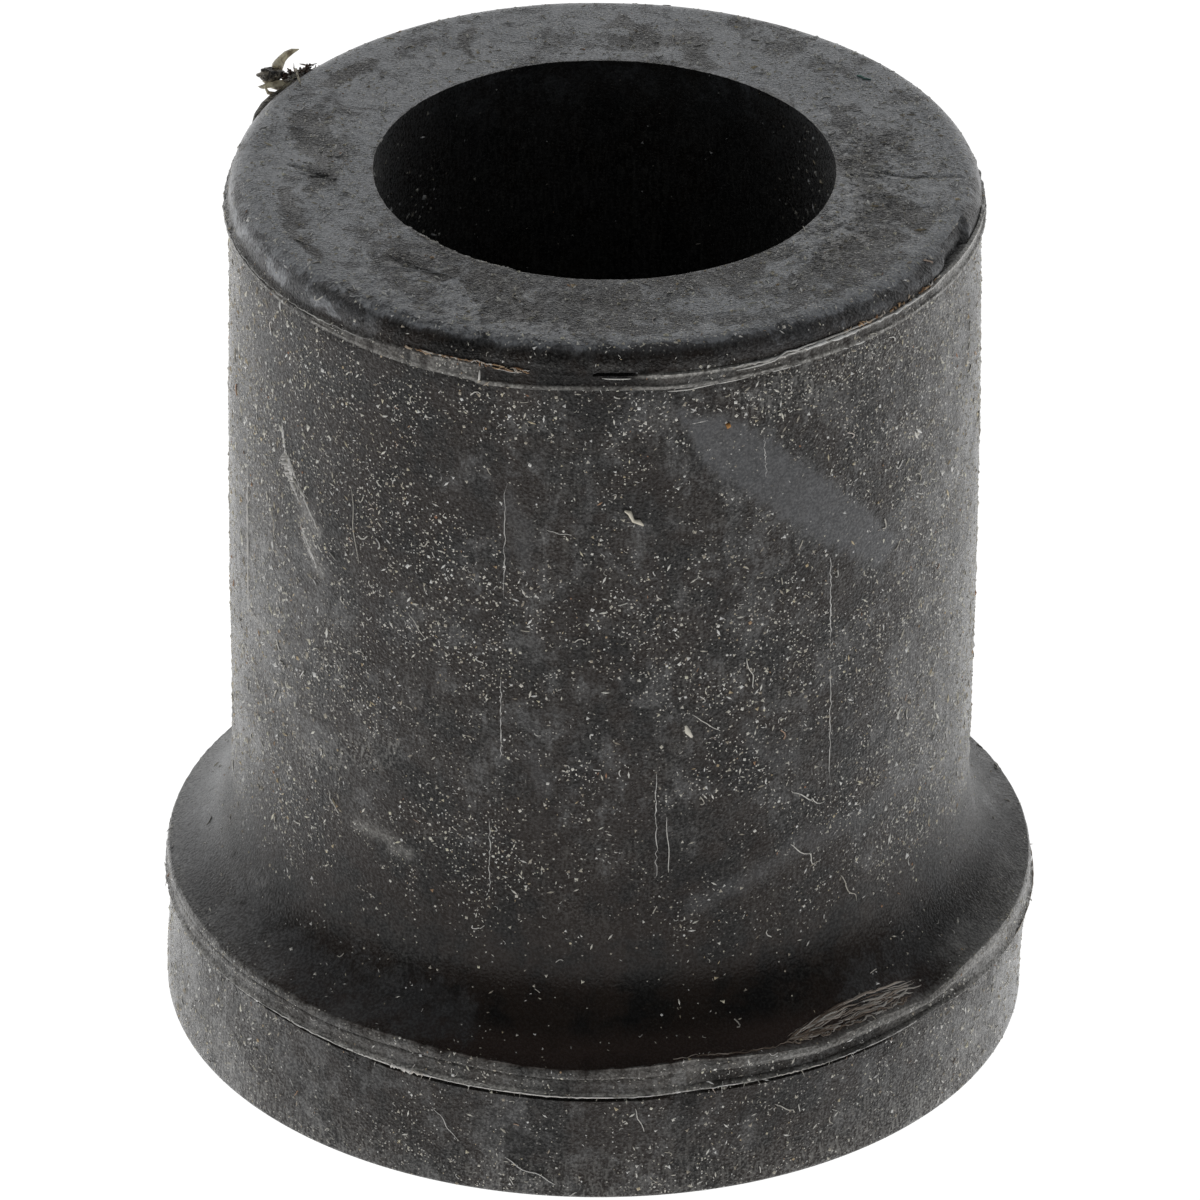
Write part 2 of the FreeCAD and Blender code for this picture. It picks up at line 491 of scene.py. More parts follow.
def shape_top(skin):
    """Makes the nose's face uneven, finely wrinkled on two sides, and cracked, with painted highlights on the
    wrinkles' ridges and painted shade in their valleys and in the cracks.
    """
    on_top = ramp(skin.tall, length / mm - 0.3, length / mm - 0.05)
    skin.lift += 0.035 * mm * uneven(skin.places, 4 * mm, 2) * on_top
    rough = between(skin.azimuth, 50, 105, 15) * (1 - 0.7 * ramp(skin.radius, 12.5 * mm, 14.5 * mm))
    rough = np.maximum(rough, 0.8 * between(skin.azimuth, -45, -5, 12))
    skin.cracked = rough * on_top * ramp(skin.radius, bore_radius, bore_radius + 0.4 * mm)
    wrinkled = skin.cracked > 0.02
    wrinkles = uneven(skin.places[wrinkled], 0.38 * mm, 11, 2) * skin.cracked[wrinkled]
    skin.lift[wrinkled] += 0.035 * mm * wrinkles
    # Painted shade in the wrinkles' valleys and a painted highlight on their ridges.
    skin.painted_shade[wrinkled] = 0.55 * ramp(-wrinkles, 0.15, 0.5)
    skin.wear_and_highlight[wrinkled] = 0.3 * ramp(wrinkles, 0.25, 0.5)
    for start, end, width in top_cracks:
        # Each crack is sunk a little and given painted shade.
        crack = stroke(skin.places[:, :2] / mm, start, end, width, 0.1) * on_top
        skin.lift -= 0.05 * mm * crack
        skin.painted_shade = np.maximum(skin.painted_shade, 0.9 * crack)


def shape_rim(skin):
    """Works the joint round the flange: a gap with a painted shadow in it, the ragged lip over it, a band, a
    bead and the crest, with painted shade in the hollow, the crease and the shoulder's pits.
    """
    azimuth, tall, ragged, broad = skin.azimuth, skin.tall, skin.ragged, skin.broad
    on_right = between(azimuth, 8, 68, 8)
    on_left = between(azimuth, -75, 8, 8)
    on_rim = skin.radius > body_radius
    lip, crest = side_top / mm, rim_crest_height / mm
    near_lip = np.interp(tall, (lip - 0.9, lip - 0.35, lip, crest), (0, 1, 1, 0)) * on_rim
    near_crest = np.interp(tall, (lip, crest - 0.08, crest + 0.07, crest + 1.52), (0, 1, 1, 0)) * on_rim
    skin.lift += near_lip * wander(azimuth, rim_lip_wander) + near_crest * wander(azimuth, rim_crest_wander)

    shut = np.clip(between(azimuth, -150, -62, 10) + between(azimuth, 50, 150, 8) + 1.2 * broad, 0, 1)
    # The gap under the lip is painted dark: a painted shadow under the overhang.
    skin.work("rim_gap", push=0.7 * rim_gap_depth / mm * shut, lift=0.02 * ragged + 0.03 * broad,
              painted_shade=0.9 - 0.5 * shut)
    # The lip is made paler, partly worn flash and partly a painted highlight on its edge, most at the front
    # left.
    bright_lip = between(azimuth, -44, -10, 4) + 0.4 * between(azimuth, 14, 40, 4)
    skin.work("rim_lip", push=0.02 + 0.06 * ragged + 0.03 * broad, lift=0.04 * ragged + 0.02 * broad,
              wear_and_highlight=0.28 + 0.3 * on_left + 0.35 * bright_lip + 0.5 * ragged)
    # The hollow band at the right is pushed in and given painted shade.
    hollow = between(azimuth, 16, 56, 6)
    skin.work("rim_band", push=0.02 * ragged - 0.08 * hollow, painted_shade=0.35 * hollow,
              wear_and_highlight=0.11 + 0.10 * broad + 0.06 * ragged - 0.06 * hollow)
    skin.work("rim_bead", push=0.02 * ragged, wear_and_highlight=0.12 + 0.16 * ragged + 0.08 * on_right)
    # Painted shade in the crease above the lip at the left and in the hollow.
    crease = skin.is_a["rim_bead"] & (tall < lip + 0.9)
    skin.push[crease] -= 0.06 * mm * on_left[crease]
    skin.painted_shade[crease] = (0.55 * between(azimuth, -80, -18, 8) + 0.25 * hollow)[crease]
    # The crest is made paler, most on the right, partly wear and partly a painted highlight.
    skin.work("rim_crest", push=0.03 * ragged + 0.02 * on_right, lift=0.02 * broad + 0.03 * ragged,
              wear_and_highlight=0.14 + 0.30 * on_right + (0.25 + 0.3 * on_right) * ragged)

    pale_end = 0.16 * between(azimuth, 46, 105, 8)
    for feature in ("rim_lip", "rim_band", "rim_bead", "rim_crest"):
        skin.wear_and_highlight += pale_end * skin.is_a[feature]
    pale_strip = between(azimuth, 24, 72, 6) * between(tall, crest - 0.48, crest + 0.02, 0.05) * on_rim
    skin.wear_and_highlight = np.maximum(skin.wear_and_highlight, 0.42 * pale_strip)
    scuffed = between(azimuth, 58, 84, 6) * between(skin.radius / mm, 17.9, 19.3, 0.3)
    scuffed *= between(tall, crest - 0.08, crest + 0.72, 0.1)
    skin.wear_and_highlight += scuffed * (0.22 + 0.3 * uneven(skin.places * (1, 1, 3), 0.35 * mm, 41, 3))
    # The shoulder's pits are not cut into the mesh; only painted shade marks them.
    for bearing, distance, height in shoulder_pits:
        from_pit = np.hypot((azimuth - bearing) * math.radians(distance), tall - height)
        skin.painted_shade = np.maximum(skin.painted_shade, 1 - ramp(from_pit, 0.08, 0.24))


def shape_nose_joint(skin):
    """Works the joint under the nose: two ribbons of flash, grown together at the front but for a slit, with
    painted shadow under their lips and painted shade in the slit.
    """
    azimuth, tall, ragged, broad = skin.azimuth, skin.tall, skin.ragged, skin.broad
    left_ribbon = between(azimuth, -125, -19, 1.0)
    right_ribbon = between(azimuth, 9, 150, 6)
    back_ribbon = 1 - between(azimuth, -150, 150, 5)
    ribbons = left_ribbon + right_ribbon
    merged = between(azimuth, -19, 8, 1)
    slit = between(azimuth, -1, 4.5, 0.5)
    outer_skin = skin.radius > bore_radius + 1 * mm
    lip, crest = nose_lip_height / mm, nose_crest_height / mm
    near_lip = np.interp(tall, (lip - 1.04, lip - 0.09, lip + 0.18, crest - 0.02), (0, 1, 1, 0)) * outer_skin
    near_crest = np.interp(tall, (lip + 0.18, crest - 0.07, crest + 0.18, crest + 0.68), (0, 1, 1, 0))
    near_crest *= outer_skin
    skin.lift += near_lip * wander(azimuth, nose_lip_wander) + near_crest * wander(azimuth, nose_crest_wander)

    proud = 0.02 + 0.15 * left_ribbon + 0.13 * right_ribbon + 0.1 * back_ribbon
    # The ribbons' lips and crests are made paler, partly worn flash and partly painted highlight.
    skin.work("nose_lip", push=proud + 0.04 + 0.05 * ragged, lift=0.03 * broad + 0.04 * ragged,
              wear_and_highlight=0.30 + 0.2 * left_ribbon + 0.5 * ragged + 0.25 * right_ribbon)
    # A painted shadow under the lip of both ribbons.
    shadow_under_lip = between(tall, lip - 0.44, lip - 0.02, 0.1) * (left_ribbon + 0.7 * right_ribbon) * outer_skin
    skin.painted_shade += shadow_under_lip * (0.55 + 0.8 * broad)
    # The merged band at the front gets a little painted shade.
    skin.work("nose_band", push=proud - 0.03 * right_ribbon + 0.03 * ragged, painted_shade=0.3 * merged,
              wear_and_highlight=(0.24 * left_ribbon + 0.12 * right_ribbon) * (1 + 1.2 * ragged))
    skin.work("nose_crest", push=0.8 * proud + 0.05 * ragged, lift=0.05 * ragged,
              wear_and_highlight=(0.4 * left_ribbon + 0.85 * right_ribbon) * (0.85 + 0.8 * ragged))
    # The slit is painted dark, painted shade in it.
    joined = merged + 1.5 * left_ribbon + 1.1 * right_ribbon - 2.4 * slit
    skin.work("groove", push=groove_depth / mm * joined, wear_and_highlight=0.22 * ribbons * (0.5 + 1.5 * ragged),
              painted_shade=slit)
    skin.work("nose_foot", push=0.03 * ribbons, lift=0.03 * ragged)


def shape_tear(skin):
    """Tears a strip out of the nose's round at the right, and lifts the flash beside it into a flap."""
    crest = nose_crest_height / mm
    along_tear = skin.azimuth - 4.7 * (skin.tall - crest + 0.07)
    tear = between(along_tear, 62, 71, 0.8) * between(skin.tall, crest + 0.14, crest + 0.93, 0.06)
    tear *= skin.radius > bore_radius + 1 * mm
    skin.push -= 0.34 * mm * tear * (0.9 + 0.3 * uneven(skin.places, 0.8 * mm, 12))
    deep_end = between(along_tear, 61.5, 63, 1.2) * between(skin.tall, crest + 0.08, crest + 0.98)
    # The torn strip gets painted shade, darkest at its deep end.
    skin.painted_shade += 0.12 * tear + 0.6 * tear * deep_end
    flap = between(skin.azimuth, 62, 84, 3)
    for feature in ("nose_crest", "groove"):
        skin.work(feature, push=0.05 * flap, lift=0.16 * flap)
    for feature in ("nose_crest", "groove", "nose_band"):
        skin.wear_and_highlight += 0.3 * flap * skin.is_a[feature]


def shape_bore_mouth(skin):
    """Leaves the edge of the bore a little ragged, and torn at the front left."""
    ragged = skin.ragged
    torn = between(skin.azimuth, -55, -24, 3)
    skin.work("bore_mouth", push=0.02 * ragged + torn * (0.06 + 0.16 * ragged),
              lift=0.05 * torn * (0.5 + ragged))
    skin.work("bore_rim", push=-0.02 - 0.02 * ragged - torn * (0.04 + 0.22 * np.abs(ragged)),
              lift=0.06 * torn * (0.5 + ragged), wear_and_highlight=0.35 + 0.4 * ragged + 0.2 * torn)


def mark_regions(skin):
    """Marks the parts of the skin that dirt and painted shade treat differently, by azimuth and by height in
    millimetres.
    """
    azimuth, tall = skin.azimuth, skin.tall
    rim, joint, top = rim_crest_height / mm, nose_lip_height / mm, length / mm
    skin.across = np.abs(azimuth)
    skin.drift = 1.1 * uneven(skin.places, 1.6 * mm, 31, 4)[:, None]
    skin.on_body = ramp(tall, 9.5, 12) * (1 - ramp(tall, joint - 0.24, joint - 0.04))
    skin.on_top = ramp(tall, top - 0.5, top - 0.01)
    middle = between(azimuth, -20, 8, 6)
    root_top = 12.5 + middle + 2.2 * between(azimuth, 60, 110, 60)
    skin.in_root = ramp(tall, rim - 0.08, rim + 0.02) * (1 - ramp(tall, 8.8 + 1.6 * middle, root_top))
    skin.frontal = 1 - ramp(skin.across, 42, 66)
    clean_left = 1 - 0.75 * ramp(-azimuth, 10, 30)
    skin.clean_front = skin.frontal * clean_left * (1 - 0.6 * ramp(azimuth, 20, 42))
    skin.root_side = between(tall, 8.2, 13.5, 1.6) * (1 - skin.frontal)
    skin.shelf = skin.in_root * (1 - skin.frontal) * (1 - ramp(tall, 8.0, 9.6))
    skin.upper_left = between(azimuth, -76, -28, 10) * between(tall, 30, joint - 0.04, 4)
    skin.dark_left = between(azimuth, -62, -14, 10) * between(tall, 11.5, 13, 3)
    skin.glossy_joint = between(azimuth, -19, 12, 1.5) * between(tall, joint + 0.08, joint + 0.96, 0.05)


def film_and_wiping(skin):
    """How much grey film lies on each vertex, and how far it has been wiped smooth."""
    azimuth, tall = skin.azimuth, skin.tall
    root_film = between(azimuth, -64, -24, 9) + 0.7 * between(azimuth, 40, 64, 6)
    root_film *= ramp(tall, 6.8, 7.0) * (1 - ramp(tall, 7.6, 9.6))
    film = 0.26 + 0.4 * uneven(skin.places, 3.2 * mm, 32, 4) + 0.3 * ramp(skin.across, 36, 75)
    film -= (0.25 + 0.45 * skin.clean_front) * (1 - ramp(tall, 11, 19)) * ramp(tall, 6.8, 7.5)
    film -= 0.36 * skin.upper_left
    film -= 0.35 * between(tall, 36.2, 38.7, 0.9) * between(azimuth, -66, -14, 8)
    film = np.clip(film, 0, 1) * (1 - 0.6 * skin.dark_left) * (1 - 0.95 * skin.in_root * skin.clean_front)
    film *= (1 - 0.7 * skin.root_side) * (1 - 0.9 * skin.glossy_joint)

    wiped = 0.3 * root_film
    flat = unrolled(azimuth, tall)
    for start, end, width in wiped_patches:
        streak = stroke(flat + 0.4 * skin.drift, on_skin(start), on_skin(end), 0.8 * width, 0.4)
        wiped = np.maximum(wiped, 0.5 * skin.on_body * streak)
    smooth = patch(flat + 0.12 * skin.drift, [on_skin(corner) for corner in smooth_patch], 0.2)
    return np.maximum(film, 0.9 * root_film), np.maximum(wiped, skin.on_body * smooth)


def dust_on(skin, wiped):
    """How thick the pale dust lies on each vertex."""
    azimuth, tall = skin.azimuth, skin.tall
    dust = 0.12 + 0.16 * uneven(skin.places, 2.2 * mm, 33, 3)
    dust += 0.3 * (1 - ramp(tall, 0.4, 3.6)) * (1 + between(azimuth, 45, 120, 35))
    dust += 0.36 * skin.on_body * ramp(skin.across, 30, 78)
    dust += 0.65 * (1 - ramp(tall, 6.9, 7.1)) * ramp(skin.across, 30, 74)
    dust += 0.16 * between(azimuth, -110, -61, 1.2) * between(tall, 26.5, 38.3, 1.5)
    dust += 0.4 * between(azimuth, 22, 75, 6) * between(tall, 37.0, 38.5, 0.5)
    moved = unrolled(azimuth, tall) + skin.drift
    for start, end, width in dusty_patches:
        streak = stroke(moved, on_skin(start), on_skin(end), 0.3 * width, 1.6 * width)
        dust = np.maximum(dust, 0.8 * skin.on_body * streak)
    dust = np.clip(dust, 0, 1) * (1 - 0.9 * skin.in_root * skin.clean_front) * (1 - 0.7 * skin.root_side)
    dust *= (1 - 0.7 * wiped) * (1 - 0.95 * skin.glossy_joint)
    return dust * (1 - 0.7 * skin.dark_left) * (1 - 0.6 * skin.upper_left)


def bloom_and_highlight_on(skin, grey_shelf):
    """How much bloom, the bluish wax that old rubber sweats out, lies on the nose and the shoulder, with a
    painted highlight along the front edge of the nose's face.
    """
    azimuth, tall = skin.azimuth, skin.tall
    to_back = -0.35 * np.cos(np.radians(azimuth - 60))
    bloom_and_highlight = 0.5 + 0.25 * uneven(skin.places, 4 * mm, 34, 3) + 0.22 * ramp(to_back, -0.3, 0.3)
    bloom_and_highlight -= 0.28 * between(azimuth, -50, 35, 25)
    seen_from_above = skin.places[:, :2] / mm + 0.55 * skin.drift
    for start, end, width, amount in bloom_marks:
        bloom_and_highlight += 1.3 * amount * stroke(seen_from_above, start, end, 0.7 * width, 0.8 * width)
    # A painted highlight along the front edge of the nose's face, in the bloom's colour.
    top_edge_highlight = skin.on_top * ramp(skin.radius / mm, 14.6, 15.1) * between(azimuth, -75, 75, 20)
    bloom_and_highlight = skin.on_top * np.clip(np.maximum(bloom_and_highlight, 0.8 * top_edge_highlight), 0.05, 1)
    on_round = (1 - skin.on_top) * ramp(tall, 39.5, 39.7)
    back_round = (1 - skin.on_top) * ramp(tall, 39.6, 39.9) * (1 - between(azimuth, -118, 95, 20))
    for amount, where in ((0.4, on_round * between(azimuth, -140, -48, 18)),
                          (0.26, on_round * between(azimuth, 26, 100, 16)), (0.5, back_round),
                          (0.2, grey_shelf)):
        bloom_and_highlight = np.maximum(bloom_and_highlight, amount * where)
    return bloom_and_highlight


def crumbs_on(skin, wiped):
    """How thick the loose crumbs lie on each vertex, for the scattering of the dust."""
    azimuth, tall, across = skin.azimuth, skin.tall, skin.across
    crumbs = 0.36 + 0.5 * uneven(skin.places, 3.5 * mm, 21) + 0.65 * uneven(skin.places, 0.9 * mm, 22)
    low_front = (1 - ramp(across, 8, 28)) * (1 - ramp(tall, 24, 32))
    crumbs += skin.on_body * (0.3 * ramp(across, 30, 60) - 0.14 * low_front)
    crumbs -= 0.22 * skin.on_body * ramp(across, 105, 140)
    crumbs += skin.on_top * (0.35 + 0.6 * between(azimuth, 5, 120, 20))
    crumbs += 0.4 * between(azimuth, 22, 70, 6) * between(tall, 36.5, 38.4, 1)
    crumbs -= 0.14 * (1 - skin.on_body) * (1 - ramp(tall, 5, 6)) * (1 - ramp(across, 35, 60))
    crumbs *= 1 - 0.6 * between(tall, 39.5, 40.3, 0.1)
    moved = unrolled(azimuth, tall) + skin.drift
    for start, end, width, amount in crumb_patches:
        streak = stroke(moved, on_skin(start), on_skin(end), 0.5 * width, 1.2 * width)
        crumbs += amount * skin.on_body * streak
    crumbs *= 1 - 0.75 * ramp(tall, 6.6, 7.0) * (1 - ramp(tall, 9.5, 12))
    crumbs *= (1 - 0.3 * ramp(tall, 39.4, 39.6)) * (1 - 0.7 * wiped) * (1 - 0.8 * skin.glossy_joint)
    return crumbs * np.where(skin.radius < bore_radius + 0.03 * mm, 0.05, 1.0) * ramp(tall, 0.02, 0.2)


def store_finish(mesh, skin):
    """Stores on the mesh what the rubber's material and the dust read: wear and painted highlight, film,
    dust, bloom with a painted highlight, gloss and painted shade.
    """
    mark_regions(skin)
    film, wiped = film_and_wiping(skin)
    grey_shelf = skin.shelf * between(skin.azimuth, -120, -96, 46)
    dust = dust_on(skin, wiped)
    wiped = np.maximum(wiped, 0.8 * grey_shelf)
    out_of_bore = 0.3 + 0.7 * ramp(skin.radius, bore_radius + 0.02 * mm, bore_radius + 0.1 * mm)
    lightly_moved = unrolled(skin.azimuth, skin.tall) + 0.12 * skin.drift
    for start, end, width in pale_smears:
        smear = stroke(lightly_moved, on_skin(start), on_skin(end), width, 0.3)
        skin.wear_and_highlight = np.maximum(skin.wear_and_highlight, 0.34 * smear)
    # Painted shade on the right of the shoulder's shelf and on the sides of the root.
    shade = skin.shelf * 0.45 * between(skin.azimuth, 1, 130, 30) + 0.2 * skin.root_side
    for name, amount in (
            ("wear_and_highlight", skin.wear_and_highlight), ("film", film), ("dust", dust * out_of_bore ** 0.5),
            ("bloom_and_highlight", bloom_and_highlight_on(skin, grey_shelf) * out_of_bore),
            ("gloss", skin.in_root * (0.5 + 0.5 * skin.frontal)), ("wiped", wiped),
            ("crumbs", crumbs_on(skin, wiped)),
            ("brown", skin.in_root * (1 - ramp(skin.tall, 7.1, 7.9)) * skin.frontal),
            ("painted_shade", np.maximum(skin.painted_shade, shade)), ("cracked", skin.cracked)):
        store(mesh, name, amount)


def make_moulding(material):
    """The turned mesh, with the unevenness of its skin and the torn edges of its flash worked in."""
    section = moulding_section()
    count = len(section)
    outline = bpy.data.meshes.new("section")
    outline.from_pydata([(r, -z, 0) for _, r, z in section], [(i, (i + 1) % count) for i in range(count)], [])
    mark = outline.attributes.new("feature", "INT", "POINT")
    mark.data.foreach_set("value", [features.index(name) for name, _, _ in section])
    turned = bpy.data.objects.new("section", outline)
    bpy.context.scene.collection.objects.link(turned)
    apply_tree(turned, turning_tree(), Steps=sweep_steps, Material=material)
    moulding = plain_mesh(turned, "moulding")
    mesh = moulding.data

    skin = Skin(mesh)
    for shape in (shape_body, shape_top, shape_rim, shape_nose_joint, shape_tear, shape_bore_mouth):
        shape(skin)
    skin.places[:, :2] += skin.outward * skin.push[:, None]
    skin.places[:, 2] += skin.lift
    skin.places[:, 0] -= flange_lean * (1 - ramp(skin.tall, 1, 5.2))
    skin.places[:, 0] += body_lean * ramp(skin.tall, 8, 16) * (1 - ramp(skin.tall, 34, 39))
    mesh.vertices.foreach_set("co", skin.places.ravel())
    store_finish(mesh, skin)
    mesh.update()
    mesh.shade_smooth()
    mesh.set_sharp_from_angle(angle=math.radians(40))
    return moulding


clean_black = (0.0075, 0.0068, 0.0062, 1)
brown_black = (0.020, 0.0138, 0.0105, 1)
grey_film = (0.042, 0.0405, 0.0395, 1)
wiped_film = (0.060, 0.0615, 0.066, 1)
dust_film = (0.27, 0.26, 0.24, 1)
bloom_and_highlight_grey = (0.33, 0.342, 0.362, 1)
root_brown = (0.048, 0.032, 0.026, 1)
wear_and_highlight_pale = (0.60, 0.58, 0.54, 1)
speck_pale = (0.74, 0.70, 0.63, 1)


def in_millimetres(tree):
    """The object's own coordinates in millimetres."""
    place = add(tree, "ShaderNodeTexCoord").outputs["Object"]
    return add(tree, "ShaderNodeMapping", {"Vector": place, "Scale": (1000, 1000, 1000)}).outputs[0]


def mottle(tree, place, per_mm, detail=2.0, roughness=0.5, distortion=0.0, stretch=None):
    """Noise from 0 to 1 with that many swells to the millimetre, stretched along Z where asked."""
    if stretch:
        place = add(tree, "ShaderNodeMapping", {"Vector": place, "Scale": (1, 1, 1 / stretch)}).outputs[0]
    noise_node = add(tree, "ShaderNodeTexNoise", {"Vector": place, "Scale": per_mm, "Detail": detail,
                                                  "Roughness": roughness, "Distortion": distortion})
    return noise_node.outputs["Fac"]


def dots(tree, place, per_mm, size, share):
    """Round specks of up to that size in a share of the cells of a grid without rows."""
    cell = add(tree, "ShaderNodeTexVoronoi", {"Vector": place, "Scale": per_mm})
    chance = add(tree, "ShaderNodeSeparateColor", {0: cell.outputs["Color"]}).outputs[0]
    reach = work_out(tree, "MULTIPLY", rise(tree, chance, 1 - share, 1.0), size * per_mm)
    inside = work_out(tree, "SUBTRACT", reach, cell.outputs["Distance"])
    return rise(tree, inside, 0.0, 0.3 * size * per_mm)


def both(tree, first, second):
    """The product of two shares."""
    return work_out(tree, "MULTIPLY", first, second)


def span(tree, value, low, high, at_low, at_high):
    """A value carried from one range to another in a straight line, and held at its ends."""
    inputs = {"Value": value, "From Min": low, "From Max": high, "To Min": at_low, "To Max": at_high}
    return add(tree, "ShaderNodeMapRange", inputs).outputs[0]


def make_rubber():
    """Black rubber under films of dust and bloom, clean and glossy in the root of the flange, with painted
    highlights on edges and ridges and painted shade in its hollows.
    """
    material, tree = new_material("dusty_rubber")
    place = in_millimetres(tree)
    lies = {name: add(tree, "ShaderNodeAttribute", attribute_name=name).outputs["Fac"]
            for name in ("wear_and_highlight", "painted_shade", "film", "dust", "bloom_and_highlight", "gloss", "wiped", "crumbs",
                         "brown", "cracked")}

    clouds = mottle(tree, place, 0.45, 5.0, 0.65)
    grain = mottle(tree, place, 8.0, 2.0, 0.6)
    streaks = mottle(tree, place, 2.4, 2.0, stretch=9)
    crisp = mottle(tree, place, 0.55, 7.0, 0.74, 0.5)
    small_clouds = mottle(tree, place, 2.1, 3.0, 0.65)
    specks = dots(tree, place, 7.0, 0.048, 0.7)
    standing = mottle(tree, place, 7.0, 2.0, stretch=4)

    colour = blend_colour(tree, rise(tree, clouds, 0.42, 0.62), brown_black, clean_black)
    colour = blend_colour(tree, both(tree, rise(tree, clouds, 0.2, 0.5), lies["brown"]), colour, root_brown)
    grained = rise(tree, grain, 0.3, 0.68)
    film = work_out(tree, "ADD", lies["film"], span(tree, streaks, 0.3, 0.7, -0.2, 0.2))
    patchy = work_out(tree, "ADD", crisp, span(tree, film, 0, 1, -0.12, 0.12))
    film = both(tree, span(tree, patchy, 0.44, 0.56, 0.08, 0.75), rise(tree, lies["film"], 0.0, 0.2))
    film = both(tree, film, span(tree, grained, 0, 1, 0.7, 1.1))
    film = both(tree, film, span(tree, small_clouds, 0.35, 0.65, 0.65, 1.3))
    rubbed = both(tree, lies["wiped"], span(tree, small_clouds, 0.3, 0.7, 0.6, 0.95))
    film = work_out(tree, "MAXIMUM", film, rubbed)
    film_colour = blend_colour(tree, lies["wiped"], grey_film, wiped_film)
    colour = blend_colour(tree, film, colour, film_colour)
    dust = both(tree, lies["dust"], rise(tree, work_out(tree, "MAXIMUM", grain, standing), 0.47, 0.72))
    colour = blend_colour(tree, dust, colour, dust_film)
    # The bloom's colour also paints a highlight along the front edge of the nose's face.
    thin = work_out(tree, "ADD", crisp, span(tree, lies["bloom_and_highlight"], 0, 1, -0.13, 0.13))
    bloom_and_highlight = span(tree, thin, 0.45, 0.54, 0.22, 0.9)
    bloom_and_highlight = both(tree, bloom_and_highlight, span(tree, grained, 0, 1, 0.74, 1.1))
    bloom_and_highlight = both(tree, bloom_and_highlight, span(tree, small_clouds, 0.3, 0.7, 0.6, 1.4))
    bloom_and_highlight = both(tree, bloom_and_highlight, rise(tree, lies["bloom_and_highlight"], 0.0, 0.45))
    colour = blend_colour(tree, bloom_and_highlight, colour, bloom_and_highlight_grey)
    # Paler where the rubber is worn, and where highlights are painted on lips, crests and wrinkle ridges.
    wear_and_highlight = both(tree, lies["wear_and_highlight"], span(tree, grained, 0, 1, 0.45, 1.0))
    colour = blend_colour(tree, wear_and_highlight, colour, wear_and_highlight_pale)
    pits = mottle(tree, place, 3.2, 4.0, 0.7, 1.0)
    # A painted highlight on the raised parts of the cracked skin.
    ridge_highlight = both(tree, span(tree, pits, 0.45, 0.40, 0, 0.4), lies["cracked"])
    colour = blend_colour(tree, ridge_highlight, colour, wear_and_highlight_pale)
    few = span(tree, lies["gloss"], 0, 1, 1.0, 0.2)
    few = both(tree, few, span(tree, lies["crumbs"], 0.1, 0.8, 0.1, 1.0))
    colour = blend_colour(tree, both(tree, specks, few), colour, speck_pale)

    shine = span(tree, work_out(tree, "ADD", film, bloom_and_highlight), 0, 1, 0.22, 0.66)
    shine = both(tree, shine, span(tree, grained, 0, 1, 0.65, 1.3))
    # Painted shade in the pits of the cracked skin.
    sunk = both(tree, rise(tree, pits, 0.54, 0.58), lies["cracked"])
    # Painted shade, darker and less shiny, in gaps, cracks, pits, creases and hollows and under the lips.
    hollow_shade = work_out(tree, "MAXIMUM", lies["painted_shade"], sunk)
    colour = blend_colour(tree, both(tree, hollow_shade, 0.85), colour, clean_black)
    shine = both(tree, shine, span(tree, hollow_shade, 0, 1, 1.0, 0.2))
    gloss = span(tree, lies["bloom_and_highlight"], 0, 1, 0.24, 0.36)
    gloss = work_out(tree, "ADD", gloss, both(tree, grained, 0.06))
    rough_skin = both(tree, span(tree, lies["gloss"], 0, 1, 1.0, 0.3), span(tree, film, 0.1, 0.9, 1.0, 0.35))
    sheen = both(tree, span(tree, lies["gloss"], 0, 1, 1.0, 0.1), span(tree, grained, 0, 1, 0.10, 0.55))
    bump = add(tree, "ShaderNodeBump", {"Height": grain, "Strength": rough_skin, "Distance": 0.08 * mm})
    surface = add(tree, "ShaderNodeBsdfPrincipled", {"Base Color": colour, "Roughness": gloss,
                                                     "Specular IOR Level": shine, "Sheen Weight": sheen,
                                                     "Sheen Roughness": 0.4,
                                                     "Normal": bump.outputs[0], "IOR": 1.5})
    add(tree, "ShaderNodeOutputMaterial", {"Surface": surface.outputs[0]})
    return material


rubber = make_rubber()
moulding = make_moulding(rubber)
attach(moulding, "root")
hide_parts("spring_eye_bush")


# The dust on the skin: pale crumbs of talc and rubber, and short bits of lint. They lie flat on the
# surface, thick on the body and the flange, and thin in the root and on the wiped patches.
crumbs_per_square_mm = 12.5
lint_per_square_mm = 0.95
flecks_per_square_mm = 5.5
crumb_tilt = 0.06


def random_number(tree, seed):
    """A random number from 0 to 1 for each point or instance."""
    inputs = {2: 0.0, 3: 1.0, "Seed": seed}
    return add(tree, "FunctionNodeRandomValue", inputs, data_type="FLOAT").outputs[1]


